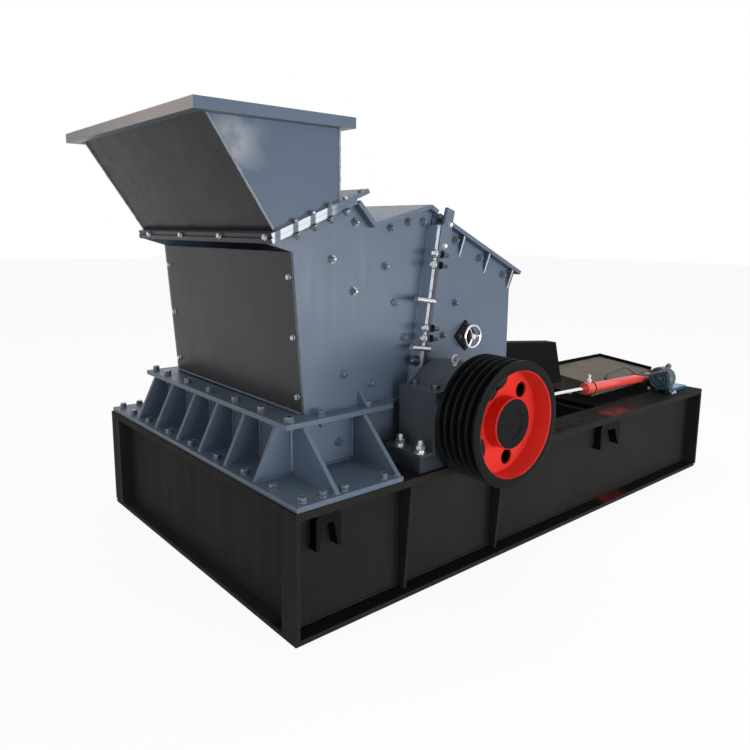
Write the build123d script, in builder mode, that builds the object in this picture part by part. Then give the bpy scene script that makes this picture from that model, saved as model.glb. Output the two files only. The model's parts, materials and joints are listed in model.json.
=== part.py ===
from build123d import *
import os
from math import atan2, cos, degrees, hypot, pi, radians, sin

os.makedirs("parts", exist_ok=True)

# All sizes are in millimetres. Distances along the skid are measured from its feed end and
# distances across it from its near long side, where the belt pulley is. Heights on the skid
# are measured from its top. The row frame has its origin on the ground under the skid's middle.

# Skid
skid_length = 3020
skid_width = 1730
skid_height = 500
top_plate = 30
foot_plate = 20
web_setback = 85
web_plate = 12
top_flange_width = 170
foot_flange_setback = 8
end_flange_width = 150
end_web_setback = 60
end_cap_width = 95
end_cap_plate = 15
rib_plate = 14
first_rib_x = 545
second_rib_x = 1110
rib_top_setback = 6
rib_foot_setback = 40
cross_beam_width = 90
cross_beam_drop = 150
middle_beam_gap = 25
hinge_bay = 309
deck_plate = 20
deck_opening_land = 60
slot_radius = 11
slot_pitch = 108
slot_edge = 42
first_slot_x = 1563

# Lifting hooks
hook_projection = 48
hook_drop = 10
hook_height = 146
hook_crown = 48
hook_tip = 14
hook_round = 32
feed_hook_x = 168
feed_hook_width = 112
rear_hook_from_end = 970
rear_hook_width = 190

# Rotor line
rotor_x = 905
rotor_rise = 201
shaft_radius = 70
journal_overrun = 15
shaft_stub = 8
journal_radius = 60
running_gap = 0.05
wall_bore_gap = 20

# Belt pulley with five grooves of 37 mm pitch
pulley_diameter = 515
groove_count = 5
groove_pitch = 37
groove_edge = 24
groove_depth = 26
groove_mouth = 32
groove_floor = 19
pulley_gap = 20
rim_inner_radius = 212
rim_draft = 6
dish_depth = 85
web_thickness = 30
hub_radius = 105
hub_setback = 20
hub_chamfer = 4
web_hole_radius = 33
web_hole_ring = 148
web_hole_count = 2
web_hole_start = 64

# Housing
wall_near = 300
wall_plate = 16
housing_front = 185
housing_rear = 1455
flange_plate = 20
mid_flange_rise = 242
roof_overhang = 35
base_flange_front = 8
base_flange_side = 4
base_flange_wing = 500
mid_flange_front = 112
mid_flange_side = 222
mid_flange_wing = 640
flange_land = 30
gusset_plate = 18
gusset_foot_setback = 12
side_gusset_x = 480
feed_gusset_shares = (0.2124, 0.4115, 0.6018, 0.8097)

# Upper casing outline: distance along the skid and height above the middle flange
front_foot_x = 246
front_head = (199, 630)
seat_nose = (92, 662)
seat_ridge = (482, 814)
roof_valley = (568, 724)
roof_ridge = (884, 805)
roof_tail = (1505, 505)
rear_wall_x = 1466
rear_wall_head = 438
roof_plate = 18
parting_foot_x = 805
parting_lean = 0.153
parting_top = 775
parting_flange_depth = 60
parting_flange_plate = 18
flange_rise = 738
strap_low = 606
strap_high = 812
strap_foot_width = 62
strap_head_x = 956
strap_head_width = 44
strap_plate = 16
front_plate = 14
moving_gap = 6
seat_gap = 0.2

# Hopper
hopper_height = 464
rim_height = 40
rim_front = -213
rim_back = 440
rim_near = 229
mouth_front = -168
mouth_back = 400
throat_front = 108
hopper_plate = 8
hopper_inset = 20
hopper_flange_end = 540
throat_land = 40
seat_window = (150, 415)

# Bearings
seat_height = 60
seat_outer = 20
seat_front = 604
seat_rear = 1206
bearing_width = 213
bearing_half_length = 220
bearing_foot = 14
foot_reach = 75
boss_height = 117
boss_length = 84
shoulder_height = 45
dome_radius = 205
dome_round = 22
cover_radius = 128
cover_plate = 10

# Handwheel and roof webs on the hinged casing
wheel_x = 1152
wheel_rise = 232
wheel_radius = 57
wheel_bar = 6
wheel_standoff = 52
spoke_count = 3
spoke_radius = 4.5
hub_boss_radius = 13
spindle_radius = 8
pad_half_diagonal = 72
pad_plate = 10
boss_radius = 22
roof_gusset_plate = 10
roof_gusset_drop = 94
roof_gusset_first = 1100
roof_gusset_pitch = 175
roof_gusset_count = 3

# Rear box, hinge and cylinder
rear_box_rise = 140
rear_box_head = 406
rear_box_tail = 368
rear_box_top_end = 1885
rear_box_foot_end = 1955
rear_box_plate = 12
rear_arm_flange = 70
rear_shell_drop = 58
hinge_x = 1781
hinge_drop = 37
hinge_pin_radius = 25
hinge_eye_radius = 42
hinge_root = 60
hinge_arm_plate = 40
hinge_lug_plate = 28
hinge_side_gap = 8
hinge_inset = 180
hinge_beam_height = 150
hinge_beam_width = 140
lug_x = 1640
lug_rise = 104
lug_plate = 14
lug_radius = 45
bridge_rise = 86
anchor_from_end = 140
anchor_rise = 62
anchor_plate = 12
cylinder_y = 245
pin_radius = 12
open_pivot_gap = 12
eye_radius = 38
eye_width = 28
eye_side_gap = 6
tail_eye_radius = 28
tail_neck = 62
barrel_radius = 26
barrel_wall = 7
rod_radius = 12
rod_exposed = 460
gland_radius = 33
gland_length = 90

# Hydraulic power pack, measured from the rear end of the skid
tank_front_from_end = 720
tank_back_from_end = 30
tank_near = 320
tank_far = 700
tank_near_height = 72
tank_far_height = 106
tank_plate = 8
tank_rim = 20
motor_from_end = 323
motor_y = 118
motor_rise = 86
motor_radius = 60
motor_length = 58
fin_count = 24
fin_height = 7
fin_plate = 3
fan_cover_radius = 71
fan_cover_length = 30
fan_cover_round = 10
motor_foot_height = 30
pump_length = 60
pump_radius = 28
pump_rise = 48
pump_y = 148
pump_foot_width = 90
pump_foot_height = 20
pump_foot_length = 175
hose_radius = 8
hose_foot = 92
hose_lead = 26
hose_crest = 200
hose_dip = 141
hose_turn = 87
hose_rise = 57
port_radius = 12
port_height = 10

# Values that follow from those above
deck = skid_height
rotor_z = deck + rotor_rise
mid_top = deck + mid_flange_rise
lower_top = mid_top - flange_plate
base_top = deck + flange_plate
hinge_z = deck - hinge_drop
lug_z = deck + lug_rise
anchor_x = skid_length - anchor_from_end
anchor_z = deck + anchor_rise
pulley_width = groove_pitch * (groove_count - 1) + 2 * groove_edge
inner_web = web_setback + web_plate
box_bottom = deck + rear_box_rise
seat_top = deck + seat_height
wall_bore = shaft_radius + wall_bore_gap


def px(distance):
    return distance - skid_length / 2


def py(distance):
    return distance - skid_width / 2


def far(distance):
    # the same distance, measured from the far long side
    return skid_width - distance


def up(point):
    # a point of the casing outline, with its height from the ground
    return (point[0], mid_top + point[1])


def block(x0, x1, y0, y1, z0, z1, mode=Mode.ADD):
    with Locations((px((x0 + x1) / 2), py((y0 + y1) / 2), (z0 + z1) / 2)):
        Box(x1 - x0, y1 - y0, z1 - z0, mode=mode)


def side_slab(points, y0, y1, mode=Mode.ADD):
    # an outline seen from the side, thickened across the skid from y0 to y1
    plane = Plane(origin=(0, py(y1), 0), x_dir=(1, 0, 0), z_dir=(0, -1, 0))
    with BuildSketch(plane) as outline:
        Polygon([(px(x), z) for x, z in points], align=None)
    extrude(outline.sketch, amount=y1 - y0, mode=mode)


def end_slab(points, x0, x1, mode=Mode.ADD):
    # an outline seen from the feed end, thickened along the skid from x0 to x1
    plane = Plane(origin=(px(x0), 0, 0), x_dir=(0, 1, 0), z_dir=(1, 0, 0))
    with BuildSketch(plane) as outline:
        Polygon([(py(y), z) for y, z in points], align=None)
    extrude(outline.sketch, amount=x1 - x0, mode=mode)


def cross_rod(x, z, y0, y1, radius, mode=Mode.ADD):
    # a round bar or hole across the skid
    with Locations(Location((px(x), py((y0 + y1) / 2), z), (90, 0, 0))):
        Cylinder(radius, y1 - y0, mode=mode)


def long_rod(x0, x1, y, z, radius, mode=Mode.ADD):
    # a round bar along the skid
    with Locations(Location((px((x0 + x1) / 2), py(y), z), (0, 90, 0))):
        Cylinder(radius, x1 - x0, mode=mode)


def turned(points):
    # radius and distance from the near side, turned about the rotor line
    plane = Plane(origin=(px(rotor_x), 0, rotor_z), x_dir=(1, 0, 0), z_dir=(0, 0, 1))
    with BuildSketch(plane) as section:
        Polygon([(radius, py(y)) for radius, y in points], align=None)
    revolve(section.sketch, Axis((px(rotor_x), 0, rotor_z), (0, 1, 0)))


def strip(a, b, thick, y0, y1):
    # a flat plate whose lower face runs from a to b, seen from the side
    length = hypot(b[0] - a[0], b[1] - a[1])
    shift_x = (a[1] - b[1]) / length * thick
    shift_z = (b[0] - a[0]) / length * thick
    side_slab([a, b, (b[0] + shift_x, b[1] + shift_z), (a[0] + shift_x, a[1] + shift_z)], y0, y1)


def parting(z):
    # the leaning joint between the fixed and the hinged casing
    return parting_foot_x + parting_lean * (z - mid_top)


def save(builder, name):
    builder.part.label = name
    export_step(builder.part, "parts/" + name + ".step")


# Skid side beams: a set-back web between a wide top flange and a foot flange
def side_beam():
    block(0, skid_length, 0, top_flange_width, deck - top_plate, deck)
    block(0, skid_length, foot_flange_setback, top_flange_width, 0, foot_plate)
    block(0, skid_length, web_setback, inner_web, foot_plate, deck - top_plate)
    for start in (0, skid_length - end_cap_plate):
        block(start, start + end_cap_plate, 0, end_cap_width, foot_plate, deck - top_plate)
    for k in range(4):
        with Locations((px(first_slot_x + k * slot_pitch), py(slot_edge), deck - top_plate / 2)):
            Cylinder(slot_radius, top_plate, mode=Mode.SUBTRACT)


with BuildPart() as skid_near_beam:
    side_beam()
save(skid_near_beam, "skid_near_beam")

with BuildPart() as skid_far_beam:
    side_beam()
    mirror(about=Plane.XZ, mode=Mode.REPLACE)
save(skid_far_beam, "skid_far_beam")


# Skid end beams, closed between the side beams
def end_beam(outer, direction):
    inner = outer + direction * end_flange_width
    web = outer + direction * end_web_setback
    x0, x1 = sorted((outer, inner))
    w0, w1 = sorted((web, web + direction * web_plate))
    block(x0, x1, top_flange_width, far(top_flange_width), deck - top_plate, deck)
    block(x0, x1, top_flange_width, far(top_flange_width), 0, foot_plate)
    block(w0, w1, inner_web, far(inner_web), foot_plate, deck - top_plate)


with BuildPart() as skid_feed_beam:
    end_beam(0, 1)
save(skid_feed_beam, "skid_feed_beam")

with BuildPart() as skid_rear_beam:
    end_beam(skid_length, -1)
save(skid_rear_beam, "skid_rear_beam")

# Cross members: the middle beam, the low box that carries the casing hinge, and the deck beam
with BuildPart() as skid_middle_beam:
    centre = housing_rear + flange_land + middle_beam_gap
    half = cross_beam_width / 2
    block(centre - half, centre + half, top_flange_width, far(top_flange_width), 0, foot_plate)
    block(centre - half, centre + half, top_flange_width, far(top_flange_width), deck - top_plate, deck)
    block(centre - web_plate / 2, centre + web_plate / 2, inner_web, far(inner_web), foot_plate, deck - top_plate)
save(skid_middle_beam, "skid_middle_beam")

beam_top = hinge_z - 2 * hinge_eye_radius - 40
with BuildPart() as hinge_beam:
    half = hinge_beam_width / 2
    block(hinge_x - half, hinge_x + half, inner_web, far(inner_web), beam_top - hinge_beam_height, beam_top)
save(hinge_beam, "hinge_beam")

deck_x = hinge_x + hinge_bay
with BuildPart() as deck_beam:
    block(deck_x, deck_x + foot_plate, inner_web, far(inner_web), cross_beam_drop, deck - top_plate)
save(deck_beam, "deck_beam")

with BuildPart() as rear_deck:
    start = deck_x + foot_plate
    block(start, skid_length - end_flange_width, top_flange_width, far(top_flange_width), deck - deck_plate, deck)
    land = deck_opening_land
    end = skid_length - end_flange_width - land
    block(start + land, end, tank_far + land, far(top_flange_width + land), deck - deck_plate, deck, Mode.SUBTRACT)
save(rear_deck, "rear_deck")

with BuildPart() as skid_side_ribs:
    rib = [(web_setback, foot_plate), (rib_foot_setback, foot_plate)]
    rib += [(rib_top_setback, deck - top_plate), (web_setback, deck - top_plate)]
    for x in (first_rib_x, second_rib_x):
        end_slab(rib, x, x + rib_plate)
        end_slab([(far(y), z) for y, z in rib], x, x + rib_plate)
save(skid_side_ribs, "skid_side_ribs")


# Lifting hooks: thick plates with a rounded crown and two legs that taper to points
def hook(x, width, y0, y1):
    plane = Plane(origin=(0, py(y1), 0), x_dir=(1, 0, 0), z_dir=(0, -1, 0))
    top = deck - top_plate - hook_drop
    foot = top - hook_height
    left, right = px(x) - width / 2, px(x) + width / 2
    with BuildSketch(plane) as outline:
        Polygon([(left, foot), (left, top), (right, top), (right, foot)], align=None)
        inner = [(left + hook_tip, foot), (left + width * 0.3, top - hook_crown)]
        inner += [(right - width * 0.3, top - hook_crown), (right - hook_tip, foot)]
        Polygon(inner, align=None, mode=Mode.SUBTRACT)
        fillet(outline.vertices().sort_by(Axis.Y)[-2:], radius=hook_round)
    extrude(outline.sketch, amount=y1 - y0)


with BuildPart() as lifting_hooks:
    for x, width in ((feed_hook_x, feed_hook_width), (skid_length - rear_hook_from_end, rear_hook_width)):
        hook(x, width, web_setback - hook_projection, web_setback)
        hook(x, width, far(web_setback), far(web_setback - hook_projection))
save(lifting_hooks, "lifting_hooks")

# Lower housing: open frame of four walls between two bolted flanges
with BuildPart() as base_flange:
    block(base_flange_front, base_flange_wing, base_flange_side, far(base_flange_side), deck, base_top)
    block(base_flange_wing, housing_rear + flange_land, wall_near, far(wall_near), deck, base_top)
    land = flange_land
    block(housing_front + land, housing_rear - land, wall_near + land, far(wall_near + land), deck, base_top, Mode.SUBTRACT)
save(base_flange, "base_flange")

with BuildPart() as lower_housing:
    block(housing_front, housing_rear, wall_near, far(wall_near), base_top, lower_top)
    inner = wall_near + wall_plate
    block(housing_front + wall_plate, housing_rear - wall_plate, inner, far(inner), base_top, lower_top, Mode.SUBTRACT)
    cross_rod(rotor_x, rotor_z, wall_near, far(wall_near), wall_bore, Mode.SUBTRACT)
save(lower_housing, "lower_housing")

with BuildPart() as feed_gussets:
    foot_x = base_flange_front + gusset_foot_setback
    outline = [(housing_front, base_top), (foot_x, base_top), (mid_flange_front + 6, lower_top), (housing_front, lower_top)]
    half = gusset_plate / 2
    housing_width = skid_width - 2 * wall_near
    middles = [wall_near + share * housing_width for share in feed_gusset_shares]
    for y in [wall_near + half] + middles + [far(wall_near + half)]:
        side_slab(outline, y - half, y + half)
save(feed_gussets, "feed_gussets")

with BuildPart() as side_gussets:
    outline = [(wall_near, base_top), (base_flange_side + gusset_foot_setback, base_top)]
    outline += [(mid_flange_side + 4, lower_top), (wall_near, lower_top)]
    for x in (housing_front, side_gusset_x):
        end_slab(outline, x, x + gusset_plate)
        end_slab([(far(y), z) for y, z in outline], x, x + gusset_plate)
save(side_gussets, "side_gussets")

with BuildPart() as mid_flange:
    block(mid_flange_front, mid_flange_wing, mid_flange_side, far(mid_flange_side), lower_top, mid_top)
    side = wall_near - flange_land / 2
    block(mid_flange_wing, housing_rear, side, far(side), lower_top, mid_top)
    land = flange_land + 10
    block(housing_front + land, housing_rear - land, wall_near + land, far(wall_near + land), lower_top, mid_top, Mode.SUBTRACT)
    cross_rod(rotor_x, rotor_z, side, far(side), wall_bore, Mode.SUBTRACT)
save(mid_flange, "mid_flange")

# Fixed upper casing: side plates with the zigzag roof line, leaning front plate, roof plates
cut = moving_gap / 2
roof_near = wall_near - roof_overhang
casing_cut_top = mid_top + parting_top
fixed_side = [(front_foot_x, mid_top), up(front_head), up(seat_nose), up(seat_ridge), up(roof_valley), up(roof_ridge)]
fixed_side += [(parting(casing_cut_top) - cut, casing_cut_top + 9), (parting(mid_top) - cut, mid_top)]

with BuildPart() as casing_near_wall:
    side_slab(fixed_side, wall_near, wall_near + wall_plate)
    cross_rod(rotor_x, rotor_z, wall_near, wall_near + wall_plate, wall_bore, Mode.SUBTRACT)
save(casing_near_wall, "casing_near_wall")

with BuildPart() as casing_far_wall:
    side_slab(fixed_side, far(wall_near + wall_plate), far(wall_near))
    cross_rod(rotor_x, rotor_z, far(wall_near + wall_plate), far(wall_near), wall_bore, Mode.SUBTRACT)
save(casing_far_wall, "casing_far_wall")

with BuildPart() as casing_front:
    foot = (front_foot_x + front_plate, mid_top + 1.5)
    head = (front_head[0] + front_plate, mid_top + front_head[1])
    strip(foot, head, front_plate, wall_near + wall_plate, far(wall_near + wall_plate))
save(casing_front, "casing_front")

with BuildPart() as casing_roof:
    roof_end = (parting(casing_cut_top) - cut, casing_cut_top + 9)
    for a, b in ((up(seat_ridge), up(roof_valley)), (up(roof_valley), up(roof_ridge)), (up(roof_ridge), roof_end)):
        strip(a, b, roof_plate, roof_near, far(roof_near))
save(casing_roof, "casing_roof")


def upstand(x_shift, low, high):
    # one parting flange: a leaning bar on each side wall
    outline = [(parting(low) + x_shift, low), (parting(low) + x_shift + parting_flange_plate, low)]
    outline += [(parting(high) + x_shift + parting_flange_plate, high), (parting(high) + x_shift, high)]
    outer = wall_near - parting_flange_depth
    side_slab(outline, outer, wall_near)
    side_slab(outline, far(wall_near), far(outer))


with BuildPart() as fixed_parting_flange:
    upstand(-cut - parting_flange_plate, mid_top + seat_gap, mid_top + flange_rise)
save(fixed_parting_flange, "fixed_parting_flange")

# Hopper: sloped double flange, flared body cut square at its rim, flat rim
seat_slope = (seat_ridge[1] - seat_nose[1]) / (seat_ridge[0] - seat_nose[0])
flange_drop = roof_plate * hypot(1, seat_slope) + seat_gap
rim_top = mid_top + seat_nose[1] + hopper_height


def seat_height_at(x, layers):
    return mid_top + seat_nose[1] + layers * flange_drop + seat_slope * (x - seat_nose[0])


def throat_window():
    land = wall_near + throat_land
    low = seat_height_at(seat_window[0], -1)
    high = seat_height_at(seat_window[1], 3)
    block(seat_window[0], seat_window[1], land, far(land), low, high, Mode.SUBTRACT)


with BuildPart() as hopper_seat:
    strip(up(seat_nose), up(seat_ridge), roof_plate, roof_near, far(roof_near))
    throat_window()
save(hopper_seat, "hopper_seat")

with BuildPart() as hopper_flange:
    start = (seat_nose[0], seat_height_at(seat_nose[0], 1))
    end = (hopper_flange_end, seat_height_at(hopper_flange_end, 1))
    strip(start, end, roof_plate, roof_near, far(roof_near))
    throat_window()
save(hopper_flange, "hopper_flange")

with BuildPart() as hopper_body:
    outside = [(throat_front, seat_height_at(throat_front, 2)), (mouth_front, rim_top)]
    outside += [(mouth_back, rim_top), (mouth_back, seat_height_at(mouth_back, 2))]
    side_slab(outside, wall_near - hopper_inset, far(wall_near - hopper_inset))
    p = hopper_plate
    inside = [(throat_front + p, mid_top), (throat_front + p, seat_height_at(throat_front, 2)), (mouth_front + p, rim_top)]
    inside += [(mouth_back - p, rim_top), (mouth_back - p, mid_top)]
    side_slab(inside, wall_near - hopper_inset + p, far(wall_near - hopper_inset + p), Mode.SUBTRACT)
save(hopper_body, "hopper_body")

with BuildPart() as hopper_rim:
    block(rim_front, rim_back, rim_near, far(rim_near), rim_top - rim_height, rim_top)
    inset = wall_near - hopper_inset
    block(mouth_front, mouth_back, inset, far(inset), rim_top - rim_height, rim_top, Mode.SUBTRACT)
    flare = (throat_front - mouth_front) / (rim_top - seat_height_at(throat_front, 2)) * rim_height
    block(mouth_front + flare, mouth_back, inset, far(inset), rim_top - rim_height, rim_top, Mode.SUBTRACT)
save(hopper_rim, "hopper_rim")


# Pedestal bearings on their blue seats
def bearing_span(side):
    if side == "near":
        return seat_outer + 2, seat_outer + 2 + bearing_width
    return far(seat_outer + 2 + bearing_width), far(seat_outer + 2)


with BuildPart() as bearing_seats:
    block(seat_front, seat_rear, seat_outer, wall_near, deck, seat_top)
    block(seat_front, seat_rear, far(wall_near), far(seat_outer), deck, seat_top)
save(bearing_seats, "bearing_seats")

for side in ("near", "far"):
    y0, y1 = bearing_span(side)
    half = bearing_half_length
    with BuildPart() as bearing_base:
        block(rotor_x - half - foot_reach, rotor_x + half + foot_reach, y0, y1, seat_top, seat_top + bearing_foot)
        outline = [(rotor_x - half, seat_top + bearing_foot), (rotor_x + half, seat_top + bearing_foot)]
        outline += [(rotor_x + half, rotor_z), (rotor_x - half, rotor_z)]
        side_slab(outline, y0, y1)
        cross_rod(rotor_x, rotor_z, y0, y1, journal_radius + running_gap, Mode.SUBTRACT)
    save(bearing_base, side + "_bearing_base")

    with BuildPart() as bearing_cap:
        plane = Plane(origin=(px(rotor_x), py(y1), rotor_z), x_dir=(1, 0, 0), z_dir=(0, -1, 0))
        with BuildSketch(plane) as dome:
            Circle(dome_radius)
            with Locations((0, -dome_radius)):
                Rectangle(2 * dome_radius, 2 * dome_radius, mode=Mode.SUBTRACT)
        extrude(dome.sketch, amount=y1 - y0)
        fillet(bearing_cap.edges().filter_by(GeomType.CIRCLE), radius=dome_round)
        block(rotor_x - half, rotor_x + half, y0, y1, rotor_z, rotor_z + shoulder_height)
        for end in (rotor_x - half, rotor_x + half - boss_length):
            block(end, end + boss_length, y0, y1, rotor_z, rotor_z + boss_height)
        cross_rod(rotor_x, rotor_z, y0, y1, journal_radius + running_gap, Mode.SUBTRACT)
    save(bearing_cap, side + "_bearing_cap")

with BuildPart() as bearing_covers:
    for start in (seat_outer + 2 - cover_plate, far(seat_outer + 2)):
        cross_rod(rotor_x, rotor_z, start, start + cover_plate, cover_radius)
    cross_rod(rotor_x, rotor_z, 0, skid_width, journal_radius + 0.4, Mode.SUBTRACT)
save(bearing_covers, "bearing_covers")

# Rotor line: stepped shaft, grooved pulley, bush, discs and hammers
pulley_far = -pulley_gap
pulley_near = pulley_far - pulley_width
journal_end = seat_outer + bearing_width + journal_overrun

with BuildPart() as shaft:
    shoulder = [(0, pulley_near + hub_setback + 2), (journal_radius, pulley_near + hub_setback + 2)]
    shoulder += [(journal_radius, journal_end), (shaft_radius, journal_end), (shaft_radius, far(journal_end))]
    shoulder += [(journal_radius, far(journal_end)), (journal_radius, far(seat_outer - shaft_stub)), (0, far(seat_outer - shaft_stub))]
    turned(shoulder)
save(shaft, "shaft")

with BuildPart() as pulley:
    rim = pulley_diameter / 2
    section = [(rim_inner_radius, pulley_near), (rim, pulley_near)]
    for k in range(groove_count):
        y = pulley_near + groove_edge + k * groove_pitch
        section += [(rim, y - groove_mouth / 2), (rim - groove_depth, y - groove_floor / 2)]
        section += [(rim - groove_depth, y + groove_floor / 2), (rim, y + groove_mouth / 2)]
    web_near = pulley_near + dish_depth
    web_far = web_near + web_thickness
    section += [(rim, pulley_far), (rim_inner_radius, pulley_far), (rim_inner_radius - rim_draft, web_far)]
    section += [(hub_radius, web_far), (hub_radius, web_near), (rim_inner_radius - rim_draft, web_near)]
    turned(section)
    with Locations(Location((px(rotor_x), py((web_near + web_far) / 2), rotor_z), (90, 0, 0))):
        with PolarLocations(web_hole_ring, web_hole_count, start_angle=web_hole_start):
            Cylinder(web_hole_radius, web_thickness, mode=Mode.SUBTRACT)
save(pulley, "pulley")

with BuildPart() as pulley_bush:
    face = pulley_near + hub_setback
    back = pulley_far - hub_setback
    section = [(journal_radius, face), (hub_radius - hub_chamfer, face), (hub_radius, face + hub_chamfer)]
    section += [(hub_radius, back), (journal_radius, back)]
    turned(section)
save(pulley_bush, "pulley_bush")

rotor_near = wall_near + wall_plate + 30
disc_plate = 40
disc_radius = 330
hammer_reach = 430
hammer_root = 250
hammer_plate = 60
disc_count = 4
hammer_rows = 4
disc_step = (far(rotor_near) - rotor_near - disc_plate) / (disc_count - 1)

with BuildPart() as rotor_discs:
    for k in range(disc_count):
        y = rotor_near + k * disc_step
        turned([(shaft_radius, y), (disc_radius, y), (disc_radius, y + disc_plate), (shaft_radius, y + disc_plate)])
save(rotor_discs, "rotor_discs")

with BuildPart() as rotor_hammers:
    for k in range(disc_count - 1):
        y0 = rotor_near + k * disc_step + disc_plate
        y1 = rotor_near + (k + 1) * disc_step
        for row in range(hammer_rows):
            turn = radians(row * 360 / hammer_rows + 20)
            corners = []
            half = hammer_plate / 2
            for u, v in ((hammer_root, -half), (hammer_reach, -half), (hammer_reach, half), (hammer_root, half)):
                corners.append((rotor_x + u * cos(turn) - v * sin(turn), rotor_z + u * sin(turn) + v * cos(turn)))
            side_slab(corners, y0, y1)
save(rotor_hammers, "rotor_hammers")

# Hinged rear casing
rear_foot = mid_top + moving_gap
roof_slope = (up(roof_tail)[1] - casing_cut_top) / (roof_tail[0] - parting(casing_cut_top))
eave_x = rear_wall_x + 34


def hinged_top(x):
    # height of the hinged side plates under their roof
    return casing_cut_top - 1 + roof_slope * (x - parting(casing_cut_top))


hinged_side = [(parting(rear_foot) + cut, rear_foot), (parting(casing_cut_top) + cut, hinged_top(parting(casing_cut_top) + cut))]
hinged_side += [(eave_x, hinged_top(eave_x)), (rear_wall_x, mid_top + rear_wall_head), (rear_wall_x, rear_foot)]

with BuildPart() as rear_near_wall:
    side_slab(hinged_side, wall_near, wall_near + wall_plate)
    cross_rod(rotor_x, rotor_z, wall_near, wall_near + wall_plate, wall_bore, Mode.SUBTRACT)
save(rear_near_wall, "rear_near_wall")

with BuildPart() as rear_far_wall:
    side_slab(hinged_side, far(wall_near + wall_plate), far(wall_near))
    cross_rod(rotor_x, rotor_z, far(wall_near + wall_plate), far(wall_near), wall_bore, Mode.SUBTRACT)
save(rear_far_wall, "rear_far_wall")

with BuildPart() as rear_roof:
    head_x = parting(casing_cut_top) + cut + 6
    strip((head_x, hinged_top(head_x)), (roof_tail[0], hinged_top(roof_tail[0])), roof_plate, roof_near, far(roof_near))
save(rear_roof, "rear_roof")

with BuildPart() as rear_back:
    inner = wall_near + wall_plate
    block(rear_wall_x - wall_plate, rear_wall_x, inner, far(inner), rear_foot, mid_top + rear_wall_head)
save(rear_back, "rear_back")

with BuildPart() as hinged_parting_flange:
    upstand(cut, rear_foot, mid_top + flange_rise)
    # lifting straps that lean over the edge of the roof
    low, high = mid_top + strap_low, mid_top + strap_high
    strap = [(parting(low) + cut, low), (parting(low) + cut + strap_foot_width, low)]
    strap += [(strap_head_x + strap_head_width, high - strap_head_width / 3), (strap_head_x, high)]
    outer = wall_near - parting_flange_depth
    side_slab(strap, outer, outer + strap_plate)
    side_slab(strap, far(outer + strap_plate), far(outer))
save(hinged_parting_flange, "hinged_parting_flange")

with BuildPart() as roof_gussets:
    # triangular webs under the overhang of the hinged roof
    half = roof_gusset_plate / 2
    for k in range(roof_gusset_count):
        x = roof_gusset_first + k * roof_gusset_pitch
        low = hinged_top(x) + roof_slope * half
        web = [(wall_near, low - roof_gusset_drop), (wall_near, low), (roof_near + 4, low), (roof_near + 4, low - 8)]
        end_slab(web, x - half, x + half)
        end_slab([(far(y), z) for y, z in web], x - half, x + half)
save(roof_gussets, "roof_gussets")

wheel_z = mid_top + wheel_rise
with BuildPart() as wheel_seat:
    # diamond pad with the boss that carries the handwheel's spindle
    corner = pad_half_diagonal
    side_slab([(wheel_x - corner, wheel_z), (wheel_x, wheel_z - corner), (wheel_x + corner, wheel_z), (wheel_x, wheel_z + corner)],
              wall_near - pad_plate, wall_near)
    cross_rod(wheel_x, wheel_z, wall_near - pad_plate - 14, wall_near - pad_plate, boss_radius)
    cross_rod(wheel_x, wheel_z, wall_near - 30, wall_near, spindle_radius + running_gap, Mode.SUBTRACT)
save(wheel_seat, "wheel_seat")

with BuildPart() as handwheel:
    # round rim on three spokes, a hub and its spindle
    wheel_y = wall_near - wheel_standoff
    centre = (px(wheel_x), py(wheel_y), wheel_z)
    with Locations(Location(centre, (90, 0, 40))):
        Torus(wheel_radius - wheel_bar, wheel_bar)
    spoke_reach = wheel_radius - wheel_bar
    for k in range(spoke_count):
        turn = k * 360 / spoke_count
        mid_x = wheel_x + spoke_reach / 2 * cos(radians(turn))
        mid_z = wheel_z + spoke_reach / 2 * sin(radians(turn))
        with Locations(Location((px(mid_x), py(wheel_y), mid_z), (0, 90 - turn, 0))):
            Cylinder(spoke_radius, spoke_reach)
    cross_rod(wheel_x, wheel_z, wheel_y - 9, wheel_y + 9, hub_boss_radius)
    cross_rod(wheel_x, wheel_z, wheel_y, wall_near - 2, spindle_radius)
save(handwheel, "handwheel")

def arm_top(x, drop=0):
    # height of the sloped top of the rear arms, or of a line that far below it
    fall = (rear_box_tail - rear_box_head) / (rear_box_top_end - rear_wall_x)
    return deck + rear_box_head + fall * (x - rear_wall_x) - drop


def arm_end(drop):
    # distance along the skid of the arms' sloped end, that far below their top
    lean = (rear_box_foot_end - rear_box_top_end) / (rear_box_tail - rear_box_rise)
    return rear_box_top_end + lean * drop


with BuildPart() as rear_box:
    # two side arms with a flange along their top, and a lower shell closed between them
    t = rear_box_plate
    arm = [(rear_wall_x, box_bottom), (rear_wall_x, arm_top(rear_wall_x))]
    arm += [(rear_box_top_end, arm_top(rear_box_top_end)), (rear_box_foot_end, box_bottom)]
    side_slab(arm, wall_near, wall_near + t)
    side_slab(arm, far(wall_near + t), far(wall_near))
    ridge = [(rear_wall_x, arm_top(rear_wall_x, t)), (rear_wall_x, arm_top(rear_wall_x))]
    ridge += [(rear_box_top_end, arm_top(rear_box_top_end)), (arm_end(t), arm_top(rear_box_top_end, t))]
    side_slab(ridge, wall_near, wall_near + rear_arm_flange)
    side_slab(ridge, far(wall_near + rear_arm_flange), far(wall_near))
    drop = rear_shell_drop
    shell = [(rear_wall_x, box_bottom), (rear_wall_x, arm_top(rear_wall_x, drop))]
    shell += [(arm_end(drop), arm_top(rear_box_top_end, drop)), (rear_box_foot_end, box_bottom)]
    side_slab(shell, wall_near + t, far(wall_near + t))
    hollow = [(rear_wall_x + t, box_bottom), (rear_wall_x + t, arm_top(rear_wall_x, drop + t))]
    hollow += [(arm_end(drop) - t, arm_top(rear_box_top_end, drop + t)), (rear_box_foot_end - t, box_bottom)]
    side_slab(hollow, wall_near + t, far(wall_near + t), Mode.SUBTRACT)
save(rear_box, "rear_box")


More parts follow.
